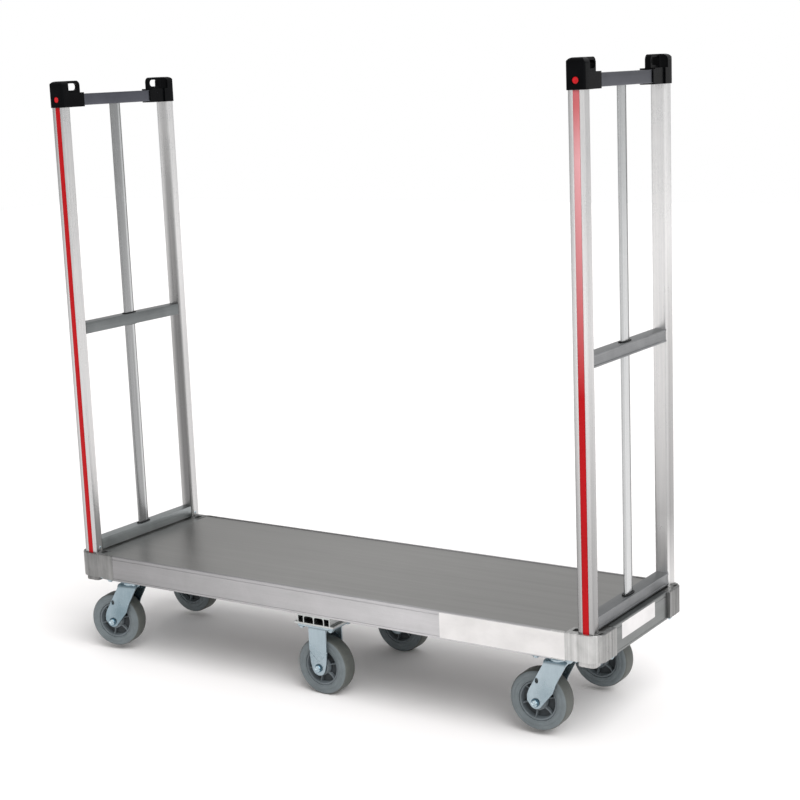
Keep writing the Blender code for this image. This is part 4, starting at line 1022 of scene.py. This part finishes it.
def build_cap(corner):
    """One black moulding, made on the +Y side and turned half a turn for the other, with a red plug."""
    place = turned_at((corner.end * POST_X, 0.0, 0.0), 0.0 if corner.side > 0 else 180.0, "Z")
    cap = block(f"post_cap_{corner.tag}", "Z", cap_plan(), CAP_BOTTOM, CAP_TOP, "black")
    shape_cap(cap)
    bevelled(cap, CAP_BEVEL, 3)
    cap.matrix_world = place
    settle(cap, corner.frame, "black", f"cap_{corner.tag}")
    seat = turned_at((0.0, CAP_FACE_Y - PLUG_SUNK, PLUG_Z), -90.0, "X")
    plug = turned(f"cap_plug_{corner.tag}", PLUG_PROFILE, 36, "red", place @ seat, 50.0)
    settle(plug, corner.frame, "red")


# Wheels

HUB_RIBS = 6
RIB_HALF = 0.0017
RIB_FOOT = 0.001
RIB_HEIGHTS = ((0.0205, 0.021), (0.026, 0.0172), (0.034, 0.0158), (0.041, 0.0168), (0.0478, 0.0196))
AXLE_RADIUS = 0.0058
TREAD_DEPTH = 0.0022
# Radii between which the hub's web takes the darker plastic, painted shade in the recess
HUB_WEB = (0.0236, BORE_RADIUS - 0.0066)


def both_ways(half):
    return half + [(radius, -height) for radius, height in reversed(half)]


def tyre_profile():
    """Sidewall with two faint steps, round shoulder and slightly crowned tread."""
    bore, outer, face = BORE_RADIUS, WHEEL_RADIUS, WHEEL_HALF_WIDTH
    shoulder = arc((outer - 0.0088, face - 0.0102), 0.0088, 78.0, 8.0, 8)
    return both_ways([
        (bore, face - 0.004), (bore + 0.0006, face - 0.0018), (bore + 0.0022, face - 0.0012),
        (bore + 0.0034, face - 0.0019), (bore + 0.0046, face - 0.0012), (outer - 0.0142, face - 0.0004),
        (outer - 0.0132, face - 0.0011), (outer - 0.0122, face - 0.0006),
        *shoulder, (outer - 0.0002, 0.006), (outer, 0.0015),
    ])


def hub_profile():
    """Thick boss round the bolt, thin web, and a rim that fills the tyre's bore."""
    rim = BORE_RADIUS - GAP
    return both_ways([
        (0.0065, 0.0268), (0.0072, 0.0275), (0.0205, 0.0275), (0.0222, 0.0262), (0.0236, 0.0135),
        (0.0252, 0.0085), (0.0285, 0.0068), (rim - 0.0095, 0.0068), (rim - 0.0068, 0.0085),
        (rim - 0.0052, 0.0202), (rim - 0.0044, 0.0216), (rim - 0.0008, 0.0222), (rim, 0.0212),
    ])


def rib_section(height):
    """Across a rib: shares of its half width, with the height at each."""
    flank = height - 0.0006
    return ((-1.3, RIB_FOOT), (-1.0, flank), (-0.5, height), (0.5, height), (1.0, flank), (1.3, RIB_FOOT))


def add_ribs(bm):
    """Radial ribs on both sides of the hub's web, a little lower at the middle of their length."""
    for side in (-1, 1):
        for rib in range(HUB_RIBS):
            turn = Matrix.Rotation(math.tau * rib / HUB_RIBS + 0.3, 3, "Z")
            rows = []
            for radius, height in RIB_HEIGHTS:
                section = [(share * RIB_HALF, side * level) for share, level in rib_section(height)]
                rows.append([bm.verts.new(turn @ Vector((radius, *point))) for point in section])
            for first, second in zip(rows, rows[1:]):
                add_band(bm, first, second)
            bm.faces.new(rows[0])
            bm.faces.new(rows[-1])


def paint_between(bm, low, high):
    """Gives the second material to faces whose middle lies between two radii."""
    for face in bm.faces:
        middle = face.calc_center_median()
        if low < math.hypot(middle.x, middle.y) < high:
            face.material_index = 1


def build_wheel(tag, axle_body, place):
    body = f"wheel_{tag}"
    bm = bmesh.new()
    add_turned(bm, tyre_profile(), 96, ring=True)
    paint_between(bm, WHEEL_RADIUS - TREAD_DEPTH, math.inf)
    tyre = finish_mesh(f"tyre_{tag}", bm, "rubber", "tread", angle=50.0, place=place)
    settle(tyre, body, "rubber", f"wheel_tyre_{tag}")
    bm = bmesh.new()
    add_turned(bm, hub_profile(), 72, ring=True)
    paint_between(bm, *HUB_WEB)
    add_ribs(bm)
    hub = finish_mesh(f"hub_{tag}", bm, "hub", "hub_web_shaded", angle=36.0, place=place)
    settle(hub, body, "hub", f"wheel_hub_{tag}")
    build_axle(tag, axle_body, place)


def build_axle(tag, body, place):
    """Bolt through the fork: washer, chamfered nut and a domed stud end on each side."""
    nut = rounded_corners(circle(0.0088, 6, turn=12.0), 0.0011)
    # The washers take the second, darker material: painted shade round each nut
    ends = (
        (circle(0.0108, 32), 0.0, 0.0014, 0.0004, 1),
        (nut, 0.0013, 0.0066, 0.0008, 0),
        (circle(0.0052, 24), 0.006, 0.0074, 0.0006, 0),
    )
    bm = bmesh.new()
    add_block(bm, "Z", circle(AXLE_RADIUS, 24), -FORK_HALF - 0.002, FORK_HALF + 0.002)
    for side in (-1, 1):
        base = side * (FORK_HALF + GAP)
        for outline, inner, outer, edge, material in ends:
            start, stop = base + side * inner, base + side * outer
            add_block(bm, "Z", outline, start, stop, edge=edge, steps=2, material=material)
    axle = finish_mesh(f"axle_{tag}", bm, "bolt", "washer_shaded", place=place)
    settle(axle, body, "zinc", f"axle_bolt_{tag}")


# Casters

FORK_ROWS = 96
FORK_COLUMNS = 18
FORK_BEVEL = 0.0007
SIGHT_PLACE = (-0.0505, 0.146)
SIGHT_RADIUS = 0.0056
SIGHT_STRETCH = (0.82, 1.3)

# A plate's half sizes, its top, and how far along X and Y its nuts are from its middle
SWIVEL_PLATE = (0.058, 0.058, PLATE_TOP, 0.044, 0.047)
FIXED_PLATE = (0.057, 0.048, FIXED_PLATE_TOP, 0.046, 0.0385)

# Radii and heights of the two turned halves of the race, one on the fork and one under the plate
FORK_RACE = (
    (0.012, 0.1985), (0.0335, 0.1985), (0.034, 0.2006), (0.034, 0.2036), (0.0322, 0.2058),
    (0.0296, 0.2063), (0.012, 0.2063))
PLATE_RACE = (
    (0.012, 0.2066), (0.0275, 0.2066), (0.0305, 0.2075), (0.0345, 0.2108), (0.0356, 0.2135),
    (0.0356, 0.2162), (0.012, 0.2162))


def bend_path(top, foot):
    """The channel's middle line across the wheel, from one foot over the crown to the other."""
    half = FORK_HALF - FORK_WALL / 2
    radius = FORK_BEND - FORK_WALL / 2
    crown = top - FORK_WALL / 2
    right = [(half, foot + (crown - radius - foot) * (step / FORK_ROWS)) for step in range(FORK_ROWS + 1)]
    right += arc((half - radius, crown - radius), radius, 0.0, 90.0, 6)[1:]
    left = [(-u, v) for u, v in reversed(right)]
    across = [((half - radius) * (1 - 2 * step / 6), crown) for step in range(1, 6)]
    return right + across + left


def outline_span(outline, height):
    """Lowest and highest X of a closed side outline at a height."""
    found = []
    for (u, v), (next_u, next_v) in followed(outline):
        if (v - height) * (next_v - height) <= 0 and v != next_v:
            found.append(u + (next_u - u) * (height - v) / (next_v - v))
    return min(found), max(found)


def fork_shell(name, look, outline, top, crown_half, press):
    """Pressed channel whose sides follow a leg outline; press draws points in towards the wheel."""
    foot = min(v for u, v in outline) + 0.0002
    ceiling = max(v for u, v in outline) - 0.0001
    bm = bmesh.new()
    rows = []
    for across, height in bend_path(top, foot):
        low, high = (-crown_half, crown_half) if height >= ceiling else outline_span(outline, height)
        row = []
        for column in range(FORK_COLUMNS + 1):
            along = low + (high - low) * column / FORK_COLUMNS
            drawn_in = math.copysign(press(along, height), across)
            row.append(bm.verts.new((along, across - drawn_in, height)))
        rows.append(row)
    for first, second in zip(rows, rows[1:]):
        add_band(bm, first, second, closed=False)
    shell = finish_mesh(name, bm, look)
    solid = shell.modifiers.new("wall", "SOLIDIFY")
    solid.thickness = FORK_WALL
    solid.offset = 0.0
    solid.use_even_offset = True
    apply_modifiers(shell)
    return shell


def add_plate(bm, half_x, half_y, top, nut_x, nut_y):
    """A caster's plate with rounded corners and a nut under each of them."""
    low = top - PLATE_THICKNESS
    add_block(bm, "Z", rounded_box((-half_x, -half_y), (half_x, half_y), 0.008), low, top, edge=PLATE_EDGE)
    for side_x in (-1, 1):
        for side_y in (-1, 1):
            add_hex_nut(bm, (side_x * nut_x, side_y * nut_y, low + 0.0001), 0.0078, 0.0058)


def swivel_leg_outline():
    """Side view of the swept leg of a swivel fork, from the pivot's axis, with a rounded foot."""
    x, z, half = -SWIVEL_TRAIL, SWIVEL_AXLE_Z, SWIVEL_LEG_HALF
    foot = arc((x + 0.0005, z + 0.0012), 0.0172, 205.0, 330.0, 12)
    top = FORK_CROWN_TOP + 0.002
    right = [(x + 0.0262, z + 0.0055), (x + 0.047, z + 0.031), (-0.0005, z + 0.052), (half, top)]
    left = [
        (-half, top), (-half - 0.0004, FORK_CROWN_TOP - 0.009), (x - 0.0185, z + 0.0285),
        (x - 0.0222, z + 0.017), (x - 0.0222, z + 0.003),
    ]
    return foot + right + left


def swivel_press(along, height):
    """Shallow step that draws the leg in towards its foot."""
    reach = (SWIVEL_AXLE_Z + 0.034 - height) / 0.012
    return 0.0012 * min(max(reach, 0.0), 1.0)


def fixed_leg_outline():
    """Side view of a fixed fork's straight leg."""
    foot = arc((0.0, WHEEL_RADIUS), 0.0205, 192.0, 348.0, 18)
    top = FIXED_PLATE_TOP - 0.004
    right = [(0.0243, 0.088), (0.026, 0.103), (FIXED_LEG_HALF, 0.13), (FIXED_LEG_HALF, top)]
    return foot + with_mirror_image(right)


def fixed_press(along, height):
    """V-shaped pressed line above the axle, below which the leg is drawn in."""
    edge = WHEEL_RADIUS + 0.018 + abs(along) * 1.05
    reach = (edge - height) / 0.0032
    crease = 1.0 - abs(reach - 0.4) / 0.9
    return 0.0009 * min(max(reach, 0.0), 1.0) + 0.0021 * max(crease, 0.0)


def build_swivel_caster(corner):
    tag, body = corner.tag, f"swivel_{corner.tag}"
    place = (corner.end * SWIVEL_X, corner.side * SWIVEL_Y, 0.0)
    seat, swivel = Matrix.Translation(place), turned_at(place, SWIVEL_ANGLES[tag], "Z")
    # The left forks take the darker zinc, painted shade
    look = "zinc_shaded_left" if corner.end < 0 else "zinc"
    shell = fork_shell(
        f"fork_{tag}", look, swivel_leg_outline(), FORK_CROWN_TOP, SWIVEL_LEG_HALF, swivel_press)
    wide, high = SIGHT_STRETCH
    sight = [(u * wide, v * high) for u, v in circle(SIGHT_RADIUS, 24)]
    cut(shell, "Y", shifted(sight, *SIGHT_PLACE), -0.05, 0.05)
    bevelled(shell, FORK_BEVEL, 2)
    shell.matrix_world = swivel
    settle(shell, body, "zinc", f"caster_fork_{tag}")
    settle(turned(f"race_{tag}", FORK_RACE, 56, "zinc", swivel), body, "zinc")
    bm = bmesh.new()
    add_plate(bm, *SWIVEL_PLATE)
    add_turned(bm, PLATE_RACE, 56)
    plate = finish_mesh(f"top_plate_{tag}", bm, "zinc", place=seat)
    settle(plate, "platform", "zinc", f"caster_plate_{tag}")
    build_wheel(tag, body, swivel @ turned_at((-SWIVEL_TRAIL, 0.0, SWIVEL_AXLE_Z), 90.0, "X"))


def build_fixed_caster(tag, side):
    seat = Matrix.Translation((0.0, side * FIXED_Y, 0.0))
    crown = FIXED_PLATE_TOP - PLATE_THICKNESS + 0.001
    shell = fork_shell(f"fork_{tag}", "zinc", fixed_leg_outline(), crown, FIXED_LEG_HALF, fixed_press)
    bevelled(shell, FORK_BEVEL, 2)
    shell.matrix_world = seat
    settle(shell, "platform", "zinc", f"caster_fork_{tag}")
    bm = bmesh.new()
    add_plate(bm, *FIXED_PLATE)
    settle(finish_mesh(f"top_plate_{tag}", bm, "zinc", place=seat), "platform", "zinc")
    build_wheel(tag, "platform", seat @ turned_at((0.0, 0.0, WHEEL_RADIUS), 90.0, "X"))


# The whole truck

# Solids that show as they are, with their looks
CARRIED_OVER = {
    "deck_sheet": "deck", "riser": "riser", "cross_member_left": "riser", "cross_member_right": "riser",
}


def dress_carried_over():
    for name, look in CARRIED_OVER.items():
        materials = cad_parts[name].data.materials
        materials.clear()
        materials.append(LOOKS[look])


def build_frame(end_name, end):
    """Bars, slat, posts and caps of the end frame at one end."""
    build_bars(end_name, end)
    build_slat(end_name, end)
    corners = [corner for corner in CORNERS if corner.end == end]
    for build in (build_post, build_cap):
        for corner in corners:
            build(corner)


def build_truck():
    build_rails()
    build_films()
    for corner in CORNERS:
        build_casting(corner)
        build_casting_bolts(corner)
    for end_name, end in ENDS.items():
        build_frame(end_name, end)
    for side_name, side in SIDES.items():
        for corner in CORNERS:
            if corner.side == side:
                build_swivel_caster(corner)
        build_fixed_caster(f"{side_name}_centre", side)
    dress_carried_over()


# Floor, lights and camera

FLOOR_HALF = 14.0

# The surround's strength: two places along X, and what it is at each
WORLD_RAMP = (-0.8, 0.4, 0.66, 0.9)

SUN_DIRECTION = (0.75, -0.42, 1.0)
SUN_STRENGTH = 2.4
SUN_WIDTH = 47.0
CAMERA_PLACE = (2.4959, -3.5902, 1.5939)
CAMERA_TURN = 35.0024
CAMERA_PITCH = 10.96
CAMERA_ROLL = -2.5757
CAMERA_LENS = 76.133
CAMERA_SHIFT = 0.0625


def build_floor():
    bm = bmesh.new()
    square = rounded_box((-FLOOR_HALF, -FLOOR_HALF), (FLOOR_HALF, FLOOR_HALF), 0)
    bm.faces.new([bm.verts.new((x, y, 0.0)) for x, y in square])
    finish_mesh("floor", bm, "floor")


def build_world():
    """White surround, a little darker towards -X for what it lights; the camera sees it white."""
    world = bpy.data.worlds.new("studio")
    bpy.context.scene.world = world
    world.use_nodes = True
    world.node_tree.nodes.clear()
    tree = Nodes(world.node_tree, "Generated")
    strength = tree.along("X", *WORLD_RAMP)
    soft = tree.add("ShaderNodeBackground", {"Strength": strength})[0]
    seen = tree.add("ShaderNodeBackground", {"Color": (1.0, 1.0, 1.0, 1.0), "Strength": 1.0})[0]
    camera_ray = tree.add("ShaderNodeLightPath")["Is Camera Ray"]
    surface = tree.add("ShaderNodeMixShader", {0: camera_ray, 1: soft, 2: seen})[0]
    tree.add("ShaderNodeOutputWorld", {"Surface": surface})


def build_sun():
    """Wide soft light from above."""
    light = bpy.data.lights.new("above", "SUN")
    light.energy = SUN_STRENGTH
    light.angle = math.radians(SUN_WIDTH)
    lamp = bpy.data.objects.new("above", light)
    bpy.context.scene.collection.objects.link(lamp)
    lamp.rotation_euler = Vector(SUN_DIRECTION).to_track_quat("Z", "Y").to_euler()


def build_camera():
    turn, pitch, roll = (math.radians(v) for v in (CAMERA_TURN, CAMERA_PITCH, CAMERA_ROLL))
    back = Vector((math.sin(turn) * math.cos(pitch), -math.cos(turn) * math.cos(pitch), math.sin(pitch)))
    right = (-back).cross(Vector((0, 0, 1))).normalized()
    up = right.cross(-back)
    tilted_right = math.cos(roll) * right + math.sin(roll) * up
    tilted_up = -math.sin(roll) * right + math.cos(roll) * up
    lens = bpy.data.cameras.new("camera")
    lens.lens = CAMERA_LENS
    lens.sensor_width = 36.0
    lens.shift_x = CAMERA_SHIFT
    lens.clip_start = 0.05
    camera = bpy.data.objects.new("camera", lens)
    bpy.context.scene.collection.objects.link(camera)
    turned_axes = Matrix((tilted_right, tilted_up, back)).transposed().to_4x4()
    camera.matrix_world = Matrix.Translation(CAMERA_PLACE) @ turned_axes
    bpy.context.scene.camera = camera


build_truck()
build_floor()
build_world()
build_sun()
build_camera()
bpy.context.scene.view_settings.view_transform = "Standard"
bpy.context.view_layer.update()
